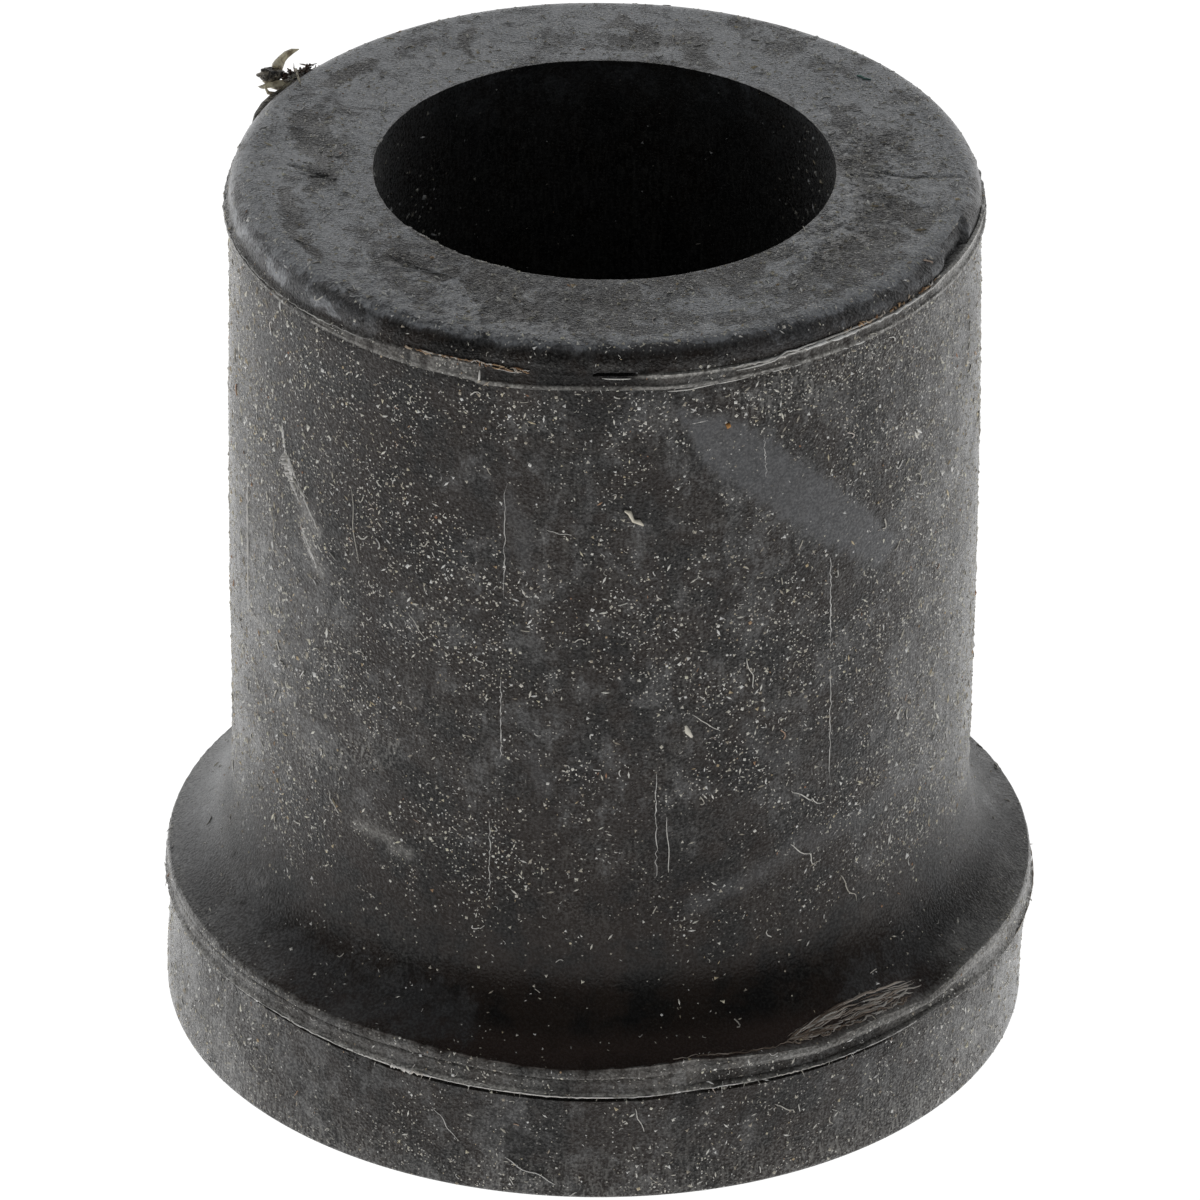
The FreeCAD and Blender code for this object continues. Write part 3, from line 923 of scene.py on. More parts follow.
def scatter_tree(name, shapes):
    """Strews one of several small shapes, picked at random, over a skin that holds a dust number."""
    float_size = "NodeSocketFloat"
    tree, given, result = new_tree(name, Density=float_size, Smallest=float_size, Largest=float_size,
                                   Seed="NodeSocketInt", Material="NodeSocketMaterial")
    dust = add(tree, "GeometryNodeInputNamedAttribute", {"Name": "crumbs"}, data_type="FLOAT").outputs[0]
    spread = add(tree, "GeometryNodeDistributePointsOnFaces", {
        "Mesh": given["Geometry"], "Density": work_out(tree, "MULTIPLY", dust, given["Density"]),
        "Seed": given["Seed"]}, distribute_method="RANDOM")
    choice = add(tree, "GeometryNodeGeometryToInstance")
    for shape in shapes(tree):
        tree.links.new(shape, choice.inputs[0])
    pick = add(tree, "FunctionNodeRandomValue", {4: 0, 5: 7, "Seed": 5}, data_type="INT").outputs[2]
    mostly_small = work_out(tree, "POWER", random_number(tree, 7), 5.0)
    size = add(tree, "ShaderNodeMapRange", {"Value": mostly_small, "To Min": given["Smallest"],
                                            "To Max": given["Largest"]}).outputs[0]
    strewn = add(tree, "GeometryNodeInstanceOnPoints", {
        "Points": spread.outputs["Points"], "Instance": choice.outputs[0], "Pick Instance": True,
        "Instance Index": pick, "Rotation": spread.outputs["Rotation"], "Scale": size})
    spin = add(tree, "FunctionNodeRandomValue", {
        0: (-crumb_tilt, -crumb_tilt, 0.0), 1: (crumb_tilt, crumb_tilt, math.tau), "Seed": 9},
        data_type="FLOAT_VECTOR").outputs[0]
    turned = add(tree, "GeometryNodeRotateInstances", {"Instances": strewn.outputs[0], "Rotation": spin,
                                                       "Local Space": True})
    tinted = add(tree, "GeometryNodeStoreNamedAttribute", {
        "Geometry": turned.outputs[0], "Name": "tint", "Value": random_number(tree, 13)},
        data_type="FLOAT", domain="INSTANCE")
    finish(tree, tinted, given["Material"], result)
    return tree


def crumb_shapes(tree):
    """Four- and eight-sided crumbs, from round to flat and long, with a size of one."""
    ball = add(tree, "GeometryNodeMeshUVSphere", {"Segments": 4, "Rings": 2, "Radius": 1.0})
    chip = add(tree, "GeometryNodeMeshCone", {"Vertices": 3, "Radius Top": 0.0, "Radius Bottom": 1.1,
                                              "Depth": 1.0})
    for solid, scale in ((ball, (1.0, 0.9, 0.45)), (chip, (1.3, 0.8, 0.5)), (ball, (2.0, 0.5, 0.4)),
                         (chip, (1.0, 1.0, 0.5))):
        yield add(tree, "GeometryNodeTransform", {"Geometry": solid.outputs[0], "Scale": scale}).outputs[0]


def lint_shapes(tree):
    """Thin bent threads a few tenths of a millimetre long, three sided."""
    thread = add(tree, "GeometryNodeCurvePrimitiveCircle", {"Resolution": 3, "Radius": 0.023 * mm})
    for bend_x, bend_y, tip, steps in ((0.02, 0.04, 0.09, 2), (0.04, 0.10, 0.13, 2), (0.08, 0.2, 0.18, 3),
                                       (0.2, 0.24, 0.14, 4), (0.03, 0.02, 0.16, 1)):
        line = add(tree, "GeometryNodeCurveQuadraticBezier", {
            "Resolution": steps, "Start": (-tip * mm, 0, 0.012 * mm), "End": (tip * mm, 0, 0.012 * mm),
            "Middle": (bend_x * mm, bend_y * mm, 0.02 * mm)})
        yield add(tree, "GeometryNodeCurveToMesh", {
            "Curve": line.outputs[0], "Profile Curve": thread.outputs[0], "Fill Caps": True}).outputs[0]


def make_dust_material(name, colours):
    """Pale dust, where each crumb or thread takes its colour from its tint."""
    material, tree = new_material(name)
    tint = add(tree, "ShaderNodeAttribute", attribute_name="tint").outputs["Fac"]
    choice = add(tree, "ShaderNodeValToRGB", {0: tint})
    choice.color_ramp.elements[0].color = colours[0][1]
    choice.color_ramp.elements[1].position = colours[1][0]
    choice.color_ramp.elements[1].color = colours[1][1]
    for position, colour in colours[2:]:
        choice.color_ramp.elements.new(position).color = colour
    place = in_millimetres(tree)
    shade = blend_colour(tree, both(tree, mottle(tree, place, 9.0), 0.2), choice.outputs[0], grey_film)
    surface = add(tree, "ShaderNodeBsdfPrincipled", {"Base Color": shade, "Roughness": 0.7})
    add(tree, "ShaderNodeOutputMaterial", {"Surface": surface.outputs[0]})
    return material


crumb_colours = [(0.0, (0.42, 0.36, 0.28, 1)), (0.25, (0.72, 0.68, 0.58, 1)), (0.5, (0.93, 0.90, 0.82, 1)),
                 (0.8, (0.98, 0.97, 0.95, 1)), (0.93, (0.88, 0.84, 0.66, 1)), (0.985, (0.66, 0.52, 0.32, 1)),
                 (1.0, (0.45, 0.22, 0.12, 1))]
lint_colours = [(0.0, (0.62, 0.58, 0.50, 1)), (0.4, (0.84, 0.81, 0.74, 1)), (0.93, (0.98, 0.96, 0.92, 1)),
                (1.0, (0.50, 0.27, 0.14, 1))]


def flank_flecks(mesh):
    """How thick the larger flecks lie on each vertex: on both flanks of the body and on the nose's face."""
    places = vertex_places(mesh)
    azimuth = np.abs(np.degrees(np.arctan2(places[:, 0], -places[:, 1])))
    tall = places[:, 2] / mm
    flanks = between(azimuth, 56, 124, 12) * between(tall, 0.4, 38.3, 0.2) * (1 - between(tall, 6.5, 11, 2))
    on_nose = ramp(tall, 40.3, 40.45) * (0.35 + 0.65 * between(azimuth, 20, 140, 30))
    on_nose *= np.hypot(places[:, 0], places[:, 1]) > bore_radius + 0.2 * mm
    gathered = np.clip(0.6 + uneven(places, 1.2 * mm, 51), 0, 1)
    return gathered * np.maximum(flanks, 0.8 * on_nose)


def strew(name, shapes, per_square_mm, smallest, largest, seed, colours, thickness=None):
    """One piece of dust, strewn over a copy of the moulding's skin as thick as its crumbs number says."""
    carrier = bpy.data.objects.new("dust_carrier", moulding.data.copy())
    bpy.context.scene.collection.objects.link(carrier)
    if thickness:
        carrier.data.attributes["crumbs"].data.foreach_set("value", thickness(carrier.data))
    apply_tree(carrier, scatter_tree(name, shapes), Density=per_square_mm / mm ** 2, Smallest=smallest,
               Largest=largest, Seed=seed, Material=make_dust_material(name, colours))
    piece = plain_mesh(carrier, name)
    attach(piece, "root")


strew("dust_crumbs", crumb_shapes, crumbs_per_square_mm, 0.038 * mm, 0.11 * mm, 3, crumb_colours)
strew("side_flecks", crumb_shapes, flecks_per_square_mm, 0.06 * mm, 0.17 * mm, 4, crumb_colours, flank_flecks)
strew("lint_threads", lint_shapes, lint_per_square_mm, 0.55, 1.6, 8, lint_colours)


# Hairs of packing fibre, a few millimetres long, that cling to the dusty body and the flange. Each is
# a fine round thread laid on the skin.
def strands_tree():
    """Makes every open line of the mesh a round thread with the line's own thickness."""
    tree, given, result = new_tree("strands", Sides="NodeSocketInt", Material="NodeSocketMaterial")
    line = add(tree, "GeometryNodeMeshToCurve", {"Mesh": given["Geometry"]})
    thickness = add(tree, "GeometryNodeInputNamedAttribute", {"Name": "thickness"}, data_type="FLOAT")
    ring = add(tree, "GeometryNodeCurvePrimitiveCircle", {"Resolution": given["Sides"], "Radius": 1.0})
    threads = add(tree, "GeometryNodeCurveToMesh", {
        "Curve": line.outputs[0], "Profile Curve": ring.outputs[0], "Scale": thickness.outputs[0],
        "Fill Caps": True})
    finish(tree, threads, given["Material"], result)
    return tree


thread_tree = strands_tree()
chance = np.random.default_rng(17)
skin_finder = BVHTree.FromPolygons([vertex.co for vertex in moulding.data.vertices],
                                   [face.vertices for face in moulding.data.polygons])


def on_moulding(path, lift):
    """The path moved onto the moulding's skin, and then off it by lift, all in millimetres."""
    laid = []
    for point, height in zip(path, np.broadcast_to(lift, len(path))):
        spot, normal, _, _ = skin_finder.find_nearest(Vector(point) * mm)
        laid.append((spot + normal * (height * mm)) / mm)
    return np.array(laid)


def make_strands(name, lines, material, sides=4):
    """One piece of many threads. Each line is its points and its thickness at each point, in millimetres."""
    points, edges, thickness, tints = [], [], [], []
    for path, width in lines:
        first = len(points)
        points += [tuple(point) for point in np.asarray(path) * mm]
        edges += [(first + step, first + step + 1) for step in range(len(path) - 1)]
        thickness += [value * mm for value in width]
        tints += [chance.random()] * len(path)
    mesh = bpy.data.meshes.new(name)
    mesh.from_pydata(points, edges, [])
    store(mesh, "thickness", thickness)
    store(mesh, "tint", tints)
    piece = bpy.data.objects.new(name, mesh)
    bpy.context.scene.collection.objects.link(piece)
    apply_tree(piece, thread_tree, Sides=sides, Material=material)
    piece = plain_mesh(piece, name)
    piece.data.shade_smooth()
    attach(piece, "root")


def around(azimuth, height, radius):
    """A place in millimetres from its azimuth in degrees, height and distance from the axis."""
    angle = np.radians(azimuth)
    return np.column_stack([radius * np.sin(angle), -radius * np.cos(angle), height + 0 * angle])


def hair(start, end, radius, curl, thick, steps=14):
    """A hair lying on a round skin between two spots (azimuth, height), waving by curl millimetres."""
    share = np.linspace(0, 1, steps)
    wave = curl * np.sin(share * math.pi * 2.3 + chance.random() * 6) * np.sin(share * math.pi) ** 0.5
    azimuth = start[0] + (end[0] - start[0]) * share + np.degrees(wave / radius) * 0.8
    height = start[1] + (end[1] - start[1]) * share + wave * np.cos(share * 5 + chance.random() * 6)
    path = on_moulding(around(azimuth, height, radius), 0.02 + 0.05 * np.sin(share * math.pi))
    return path, thick * (0.35 + 0.65 * np.sin(share * math.pi) ** 0.5)


body = body_radius / mm
side = flange_radius / mm
named_hairs = [
    ((30.3, 17.8), (36.4, 16.7), body, 0.28, 0.030), ((30.4, 15.1), (34.9, 13.7), body, 0.22, 0.028),
    ((40.0, 12.6), (43.4, 10.9), body, 0.15, 0.024), ((-12.1, 1.9), (-5.4, 0.7), side, 0.12, 0.030),
    ((-60.4, 28.1), (-59.6, 26.7), body, 0.13, 0.030), ((-55.0, 30.5), (-50.5, 29.9), body, 0.05, 0.02),
    ((-41.0, 31.5), (-39.5, 28.0), body, 0.10, 0.018), ((-30.2, 26.5), (-27.4, 25.5), body, 0.10, 0.022),
    ((10.2, 17.6), (10.6, 14.8), body, 0.05, 0.02), ((13.9, 22.6), (18.3, 21.6), body, 0.06, 0.022),
    ((-8.4, 31.8), (-4.6, 31.6), body, 0.05, 0.018), ((22.4, 25.0), (23.6, 23.4), body, 0.10, 0.024),
    ((-22.0, 3.8), (-18.4, 2.4), side, 0.10, 0.022), ((24.0, 3.9), (27.0, 3.2), side, 0.14, 0.022),
    ((5.0, 4.6), (6.2, 3.4), side, 0.06, 0.022), ((-46.2, 15.9), (-44.0, 15.0), body, 0.12, 0.028),
    ((120, 30.0), (126, 27.0), body, 0.25, 0.028), ((-150, 16.0), (-144, 14.5), body, 0.2, 0.026),
    ((170, 24.0), (176, 22.6), body, 0.2, 0.024), ((-100, 34.0), (-96, 31.0), body, 0.2, 0.024)]
make_strands("packing_hairs", [hair(*line) for line in named_hairs],
             make_dust_material("hair_fibre", lint_colours))


# Scuffs: straight broken burrs where something hard was dragged over the rubber, most of them upright,
# with one torn patch at the left. They are part of the skin and stand up only by their backs.
def scuff(start, end, radius, thick, steps=26):
    """A straight broken burr, sunk in the skin but for its back."""
    share = np.linspace(0, 1, steps)
    azimuth = start[0] + (end[0] - start[0]) * share + 0.1 * chance.standard_normal(steps)
    height = start[1] + (end[1] - start[1]) * share
    width = thick * np.clip(0.9 + 0.3 * chance.standard_normal(steps), 0.3, 1.5)
    width *= np.sin(share * math.pi) ** 0.4
    return on_moulding(around(azimuth, height, radius), -0.2 * thick), width


named_scuffs = [
    ((-56.8, 31.6), (-47.9, 28.5), 0.06), ((-57.1, 31.4), (-55.4, 30.2), 0.22),
    ((-55.8, 31.3), (-54.6, 30.2), 0.17), ((-57.7, 32.8), (-56.4, 31.0), 0.08),
    ((-56.4, 30.6), (-52.6, 29.4), 0.09), ((-53.0, 28.6), (-48.4, 26.7), 0.06),
    ((-52.6, 28.1), (-49.5, 26.9), 0.05), ((-70.2, 29.0), (-70.1, 21.9), 0.09),
    ((-70.1, 21.9), (-66.0, 21.7), 0.08), ((36.6, 29.1), (37.0, 24.0), 0.030),
    ((37.0, 23.4), (37.3, 17.6), 0.038), ((-15.1, 24.3), (-15.1, 20.2), 0.026),
    ((-16.8, 17.3), (-16.8, 13.5), 0.024), ((8.5, 19.9), (8.7, 14.5), 0.024),
    ((-14.6, 34.0), (-14.8, 28.0), 0.020), ((13.0, 36.8), (16.0, 36.9), 0.034),
    ((24.8, 35.8), (25.2, 33.6), 0.018)]
make_strands("scuffs", [scuff(start, end, body, thick) for start, end, thick in named_scuffs],
             make_dust_material("scuffed_rubber", [
                 (0.0, (0.62, 0.60, 0.57, 1)), (1.0, (0.85, 0.83, 0.80, 1))]))


# Shreds of flash: hair-thin tatters of rubber along both mould joints and the torn stretch of the bore's
# edge, left where the flash was torn off. Those that hang from the ribbon are orange-brown and thin.
def shred(azimuth, height, radius, out, drop, thick, steps=6):
    """A torn shred that leaves an edge at a spot, and bends out and down or up."""
    share = np.linspace(0, 1, steps)
    sway = chance.uniform(-1, 1) * 0.6 * share ** 1.5
    path = around(azimuth + sway, height + drop * share ** 1.6, radius - 0.05 + out * np.sin(share * 1.4))
    return path, thick * (1.1 - share)


shreds = []
for azimuth in chance.uniform(-180, 180, 150):
    shreds.append(shred(azimuth, side_top / mm + 0.02, rim_lip_radius / mm, chance.uniform(0.05, 0.16),
                        chance.uniform(-0.30, 0.05), chance.uniform(0.012, 0.028)))
for azimuth in chance.uniform(-180, 180, 110):
    shreds.append(shred(azimuth, nose_lip_height / mm + 0.05, body + 0.15, chance.uniform(0.03, 0.12),
                        chance.uniform(-0.22, 0.1), chance.uniform(0.012, 0.026)))
for azimuth in chance.uniform(-54, -26, 46):
    share = np.linspace(0, 1, 6)
    inward = bore_radius / mm - 0.02 - chance.uniform(0.02, 0.16) * np.sin(share * math.pi)
    path = around(azimuth + chance.uniform(0.8, 3.5) * share, length / mm - 0.04 + 0.08 * share, inward)
    shreds.append((path, chance.uniform(0.02, 0.05) * (1.1 - share)))
make_strands("flash_shreds", shreds, make_dust_material("torn_flash", lint_colours), sides=3)

shreds = []
for azimuth in chance.uniform(-31, -12, 60):
    start = (azimuth, 39.42 + 0.03 * chance.standard_normal() - 0.006 * max(azimuth + 19, 0))
    end = (azimuth + chance.uniform(0.5, 2.0), start[1] + chance.uniform(-0.14, 0.06))
    shreds.append(hair(start, end, body, 0.03, chance.uniform(0.012, 0.035), steps=5))
for azimuth in chance.uniform(38, 62, 44):
    start = (azimuth, 39.56 + 0.05 * chance.standard_normal())
    end = (azimuth + chance.uniform(-1.2, 1.2), start[1] + chance.uniform(-0.1, 0.2))
    shreds.append(hair(start, end, body, 0.05, chance.uniform(0.02, 0.055), steps=4))
make_strands("ribbon_shreds", shreds, make_dust_material("orange_flash", [
    (0.0, (0.30, 0.13, 0.05, 1)), (0.4, (0.62, 0.42, 0.24, 1)), (0.7, (0.80, 0.70, 0.58, 1)),
    (1.0, (0.90, 0.87, 0.82, 1))]), sides=4)


# The torn edges of the two ribbons at the nose, pale where they have been rubbed: short single lines at
# the front, and long ones that follow the lip and the crest at both sides.
torn_lines = [((-19.0, 38.50), (-18.8, 39.15), 0.05), ((-0.2, 39.24), (4.2, 39.20), 0.035),
              ((9.6, 38.52), (14.6, 38.55), 0.035), ((12.6, 38.52), (24.0, 38.95), 0.045),
              ((-16.5, 39.36), (-12.5, 39.26), 0.02), ((20.0, 39.18), (36.0, 39.52), 0.05),
              ((30.0, 39.46), (47.0, 39.56), 0.055), ((24.0, 38.80), (40.0, 38.93), 0.04)]
torn_lines = [hair(start, end, body, 0.012, thick, steps=9) for start, end, thick in torn_lines]
make_strands("torn_lines", torn_lines, make_dust_material("torn_edge", [
    (0.0, (0.70, 0.67, 0.62, 1)), (1.0, (0.90, 0.88, 0.84, 1))]), sides=4)

nose_crest = (nose_crest_height, nose_crest_wander)
nose_lip = (nose_lip_height, nose_lip_wander)
nose_lines = []
for start, end, thick, (height, spots) in (
        (-80, -56, 0.026, nose_crest), (-60, -36, 0.03, nose_crest), (-40, -21, 0.03, nose_lip),
        (-66, -42, 0.02, nose_lip), (18, 34, 0.07, nose_crest), (28, 46, 0.105, nose_crest),
        (42, 60, 0.10, nose_crest), (20, 38, 0.055, nose_lip), (34, 52, 0.06, nose_lip),
        (48, 66, 0.05, nose_lip)):
    bearing = np.linspace(start, end, 30)
    above = (height + wander(bearing, spots)) / mm + 0.02 * chance.standard_normal(30)
    width = thick * np.clip(0.8 + 0.35 * chance.standard_normal(30), 0.2, 1.5)
    width *= np.sin(np.linspace(0.1, 3.0, 30))
    nose_lines.append((on_moulding(around(bearing, above, body + 0.12), 0.0), width))
make_strands("nose_edges", nose_lines, make_dust_material("pale_edge", [
    (0.0, (0.70, 0.68, 0.64, 1)), (1.0, (0.96, 0.95, 0.92, 1))]))


# Burrs along the lip of the flange's joint, where its flash was cut off: pale broken lines on the very
# edge, thickest at the front left.
lip_lines = []
for start, end, thick in (
        (-58.0, -40.0, 0.03), (-44.0, -30.0, 0.035), (-33.0, -22.0, 0.045), (-27.5, -24.6, 0.12),
        (-25.6, -23.0, 0.10), (-22.0, -12.0, 0.035), (-13.0, 2.0, 0.035), (4.0, 20.0, 0.03),
        (24.0, 31.0, 0.035), (33.0, 46.0, 0.03), (70.0, 96.0, 0.03), (130.0, 170.0, 0.03)):
    bearing = np.linspace(start, end, 24)
    height = side_top / mm + 0.04 + wander(bearing, rim_lip_wander) / mm + 0.02 * chance.standard_normal(24)
    width = thick * np.clip(0.8 + 0.4 * chance.standard_normal(24), 0.2, 1.6)
    lip_lines.append((around(bearing, height, rim_lip_radius / mm + 0.05), width))
make_strands("lip_burrs", lip_lines, make_dust_material("burr", [
    (0.0, (0.55, 0.46, 0.38, 1)), (0.3, (0.80, 0.76, 0.70, 1)), (1.0, (0.96, 0.94, 0.91, 1))]))


# Wrinkles in the flange's shoulder, front right: the skin has dried and creased there into fine brown
# ridges that run along the rim, with a few long creases to the left of them.
wrinkle_lines = []
for height in np.linspace(0, 1, 15):
    for azimuth in chance.uniform(27, 46, 9):
        reach = chance.uniform(0.8, 2.6)
        share = np.linspace(0, 1, 9)
        bearing = azimuth - 3 * height + reach * share + 6 * height * share
        arch = np.sin(np.clip((bearing - 26) / 26, 0, 1) * math.pi) ** 0.7
        radius = 18.92 - (0.25 + 0.75 * height) * arch * height
        wave = 0.06 * np.sin(share * 7 + chance.uniform(0, 6)) + 0.02 * chance.standard_normal(9)
        path = on_moulding(around(bearing, 7.0 + 0.3 * height, radius + wave), -0.02)
        wrinkle_lines.append((path, chance.uniform(0.03, 0.065) * np.sin(share * 2.6 + 0.3)))
for azimuth, reach in ((10.0, 8.0), (12.5, 9.0), (17.0, 7.0), (21.0, 6.0)):
    share = np.linspace(0, 1, 14)
    path = on_moulding(around(azimuth + reach * share, 6.9, 18.82 + 0.05 * chance.standard_normal(14)), 0.0)
    wrinkle_lines.append((path, 0.02 + 0.01 * np.sin(share * 9)))
make_strands("shoulder_wrinkles", wrinkle_lines, make_dust_material("wrinkled_skin", [
    (0.0, (0.06, 0.04, 0.03, 1)), (0.3, (0.30, 0.22, 0.16, 1)), (0.65, (0.55, 0.47, 0.40, 1)),
    (1.0, (0.80, 0.76, 0.70, 1))]), sides=5)


# Scratches and small burrs in the nose's face, pale on the bloom: some long ones at the left and front,
# and many short ones at random on the right and the front.
face_scratches = [((-13.1, 6.2), (-11.9, 5.4), 0.03), ((-12.6, 5.0), (-12.2, 3.6), 0.03),
                  ((11.9, 2.05), (12.9, 1.15), 0.035), ((12.2, 1.5), (13.4, 1.45), 0.03),
                  ((-9.6, -8.9), (-7.0, -9.4), 0.03), ((-8.8, -9.9), (-6.6, -10.6), 0.035),
                  ((-8.0, -8.8), (-5.6, -10.4), 0.025), ((-10.8, -11.4), (-9.6, -11.6), 0.03),
                  ((-13.7, 3.6), (-13.0, 3.5), 0.04), ((4.2, -13.0), (5.6, -12.6), 0.03),
                  ((8.9, 6.0), (10.1, 5.9), 0.025), ((13.0, -3.4), (14.0, -3.2), 0.03)]
for _ in range(90):
    x, y = chance.uniform(-15.2, 15.2, 2)
    if bore_radius / mm + 0.5 < math.hypot(x, y) < 15.2 and (x > 5 or y < -6):
        face_scratches.append(((x, y), (x + chance.uniform(0.1, 0.5), y + chance.uniform(-0.2, 0.2)), 0.022))
scratch_paths = []
for start, end, thick in face_scratches:
    share = np.linspace(0, 1, 12)
    along = np.array([(end[0] - start[0], end[1] - start[1], 0)])
    path = np.array([(*start, length / mm)]) + share[:, None] * along
    path[:, :2] += 0.04 * chance.standard_normal((12, 2))
    width = thick * np.clip(0.8 + 0.4 * chance.standard_normal(12), 0.2, 1.5)
    scratch_paths.append((on_moulding(path, 0.0), width))
make_strands("face_scratches", scratch_paths, make_dust_material("face_scratch", [
    (0.0, (0.60, 0.60, 0.60, 1)), (1.0, (0.92, 0.91, 0.90, 1))]))


# A short teal thread of cloth that lies on the back right of the nose's face, stuck in its dust. Like
# the hairs it is one fine round strand.
teal_thread = np.array([(10.96, 8.7), (11.15, 8.62), (11.3, 8.42), (11.57, 8.34)])
teal_thread = np.column_stack([teal_thread, np.full(4, length / mm + 0.04)])
make_strands("teal_thread", [(teal_thread, [0.03, 0.06, 0.05, 0.03])], make_dust_material("teal_fibre", [
    (0.0, (0.20, 0.42, 0.36, 1)), (1.0, (0.30, 0.50, 0.44, 1))]))


# The gate tag: where the rubber entered the mould, at the back left of the nose, a torn lump was left on
# the rim, with a curled sliver over it, a thin fin running along the joint and a tuft of fine shreds.
def lump(centre, size, seed, rough):
    """A torn crumb of rubber: a ball pulled about by noise."""
    ball = bmesh.new()
    bmesh.ops.create_icosphere(ball, subdivisions=3, radius=1.0)
    for vertex in ball.verts:
        pull = 1 + rough * noise.fractal(vertex.co * 1.3 + Vector((seed, seed, seed)), 1.0, 2.0, 3)
        vertex.co = Vector(centre) + Vector([vertex.co[axis] * size[axis] * pull for axis in range(3)])
    bmesh.ops.scale(ball, vec=(mm, mm, mm), verts=ball.verts)
    mesh = bpy.data.meshes.new("lump")
    ball.to_mesh(mesh)
    ball.free()
    return mesh


def torn_piece(name, mesh, material):
    """A loose mesh made a piece of the visual model."""
    mesh.materials.append(material)
    mesh.shade_smooth()
    piece = bpy.data.objects.new(name, mesh)
    bpy.context.scene.collection.objects.link(piece)
    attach(piece, "root")


def make_torn_rubber():
    """Freshly torn rubber: dark brown, shiny in its folds and paler where it is thin."""
    material, tree = new_material("torn_rubber")
    place = in_millimetres(tree)
    thin = rise(tree, mottle(tree, place, 3.5, 4.0, 0.7), 0.42, 0.62)
    colour = blend_colour(tree, thin, (0.016, 0.012, 0.009, 1), (0.34, 0.30, 0.24, 1))
    folds = add(tree, "ShaderNodeBump", {"Height": mottle(tree, place, 7.0, 3.0, 0.6), "Strength": 0.9,
                                         "Distance": 0.1 * mm})
    surface = add(tree, "ShaderNodeBsdfPrincipled", {"Base Color": colour, "Roughness": 0.22,
                                                     "Normal": folds.outputs[0]})
    add(tree, "ShaderNodeOutputMaterial", {"Surface": surface.outputs[0]})
    return material


def make_thin_rubber():
    """Rubber torn so thin that it is cream and grey-brown, dark where it thickens."""
    material, tree = new_material("thin_rubber")
    thick = rise(tree, mottle(tree, in_millimetres(tree), 2.2, 4.0, 0.6), 0.42, 0.66)
    colour = blend_colour(tree, thick, (0.90, 0.86, 0.72, 1), (0.36, 0.31, 0.24, 1))
    surface = add(tree, "ShaderNodeBsdfPrincipled", {"Base Color": colour, "Roughness": 0.3})
    shining_through = add(tree, "ShaderNodeBsdfTranslucent", {"Color": colour})
    mixed = add(tree, "ShaderNodeMixShader", {0: 0.5, 1: surface.outputs[0], 2: shining_through.outputs[0]})
    add(tree, "ShaderNodeOutputMaterial", {"Surface": mixed.outputs[0]})
    return material


torn_rubber = make_torn_rubber()
thin_rubber = make_thin_rubber()
torn_piece("gate_lump", lump((-14.6, 8.75, 40.36), (0.56, 0.40, 0.30), 3.1, 0.6), torn_rubber)
torn_piece("gate_flake", lump((-14.42, 8.5, 39.98), (0.52, 0.34, 0.17), 7.7, 0.7), thin_rubber)
leaf = np.array([(-14.35, 9.0, 40.45), (-14.3, 9.3, 40.52), (-14.15, 9.6, 40.62), (-13.95, 9.85, 40.72),
                 (-13.7, 10.05, 40.79), (-13.4, 10.2, 40.82)])
curl = np.array([(-14.85, 8.2, 40.0), (-14.7, 8.0, 39.82), (-14.4, 7.95, 39.78), (-14.1, 8.1, 39.9),
                 (-13.75, 8.4, 40.1), (-13.55, 8.7, 40.3)])
dribble = np.array([(-13.5, 9.1, 40.42), (-13.45, 8.5, 40.5), (-13.35, 7.9, 40.53), (-13.25, 7.4, 40.52)])
make_strands("gate_leaf", [
    (leaf, [0.26, 0.27, 0.21, 0.18, 0.13, 0.02]), (curl, [0.04, 0.09, 0.11, 0.10, 0.07, 0.03]),
    (dribble, [0.05, 0.06, 0.05, 0.01])], thin_rubber, sides=6)
fin = np.array([(-14.1, 8.25, 39.75), (-14.45, 7.7, 39.68), (-14.85, 7.0, 39.6), (-15.12, 6.4, 39.56),
                (-15.32, 5.8, 39.5)])
make_strands("gate_fin", [(fin, [0.12, 0.25, 0.26, 0.18, 0.03])], torn_rubber, sides=6)
tuft = []
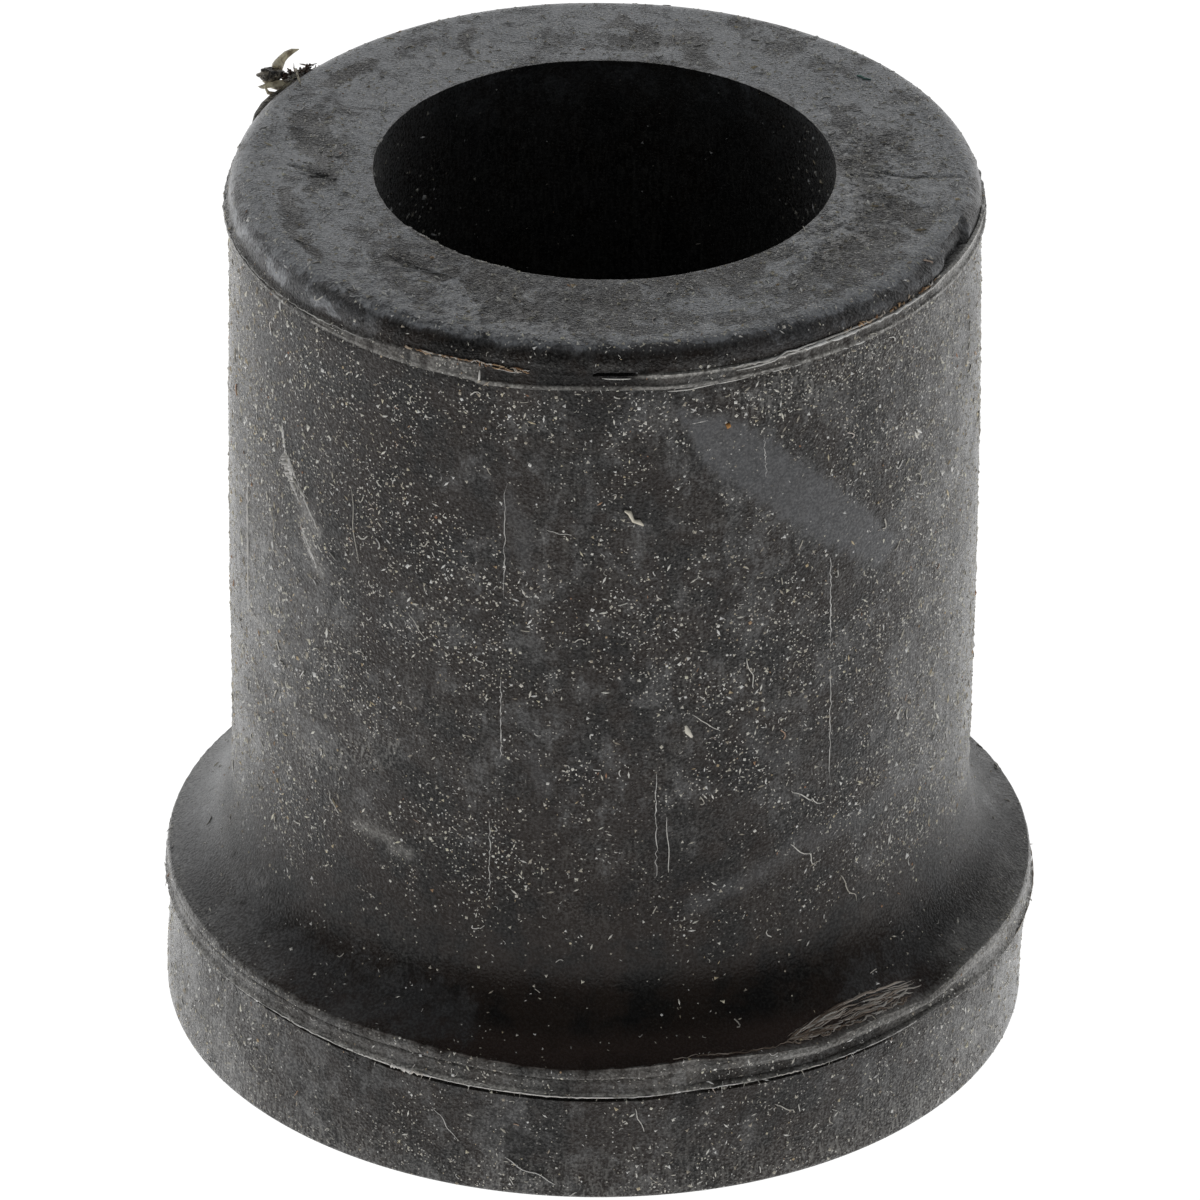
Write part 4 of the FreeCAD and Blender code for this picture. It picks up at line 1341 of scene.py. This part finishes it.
for clump, spread, shreds_here in ((-13.75, 0.25, 70), (-13.35, 0.3, 70), (-12.95, 0.2, 26), (-12.6, 0.1, 5)):
    for _ in range(shreds_here):
        x = clump + spread * chance.uniform(-1, 1)
        root = np.array([x, 8.7 + 0.8 * (x + 13.9), 39.85 + 0.45 * chance.random()])
        reach = [chance.uniform(low, high) for low, high in ((-0.35, 0.45), (-0.3, 0.3), (-0.15, 0.3))]
        tip = root + np.array(reach)
        middle = (root + tip) / 2 + chance.uniform(-0.2, 0.2, 3)
        path = np.array([root, (root + middle) / 2, middle, (middle + tip) / 2, tip])
        tuft.append((path, np.array([0.04, 0.05, 0.04, 0.03, 0.01]) * chance.uniform(0.6, 1.5)))
make_strands("gate_tuft", tuft, make_dust_material("tuft_fibre", [
    (0.0, (0.03, 0.022, 0.018, 1)), (0.3, (0.26, 0.16, 0.12, 1)), (0.6, (0.55, 0.50, 0.44, 1)),
    (1.0, (0.92, 0.90, 0.86, 1))]), sides=3)


# Two cream flakes of old dried rubber and one speck of rust, stuck to the front of the body. They are
# short thick strands, sunk in the skin but for their backs.
flake_path = np.array([(3.4, 32.85), (4.1, 32.75), (4.7, 32.35), (5.5, 32.3), (6.2, 32.1)])
flake = around(flake_path[:, 0], flake_path[:, 1], np.full(5, body + 0.1))
speck_path = around(np.array([18.7, 19.3]), np.array([36.5, 36.55]), np.full(2, body + 0.05))
crumb_path = around(np.array([12.9, 13.2, 13.9]), np.array([22.1, 21.8, 21.5]), np.full(3, body + 0.1))
flakes = [(flake, [0.05, 0.11, 0.08, 0.12, 0.04]), (crumb_path, [0.05, 0.13, 0.06])]
make_strands("cream_flakes", flakes, make_dust_material("cream_flake", [
    (0.0, (0.78, 0.72, 0.58, 1)), (1.0, (0.92, 0.88, 0.78, 1))]), sides=5)
make_strands("rust_speck", [(speck_path, [0.13, 0.10])], make_dust_material("rust", [
    (0.0, (0.45, 0.19, 0.05, 1)), (1.0, (0.60, 0.30, 0.08, 1))]), sides=6)
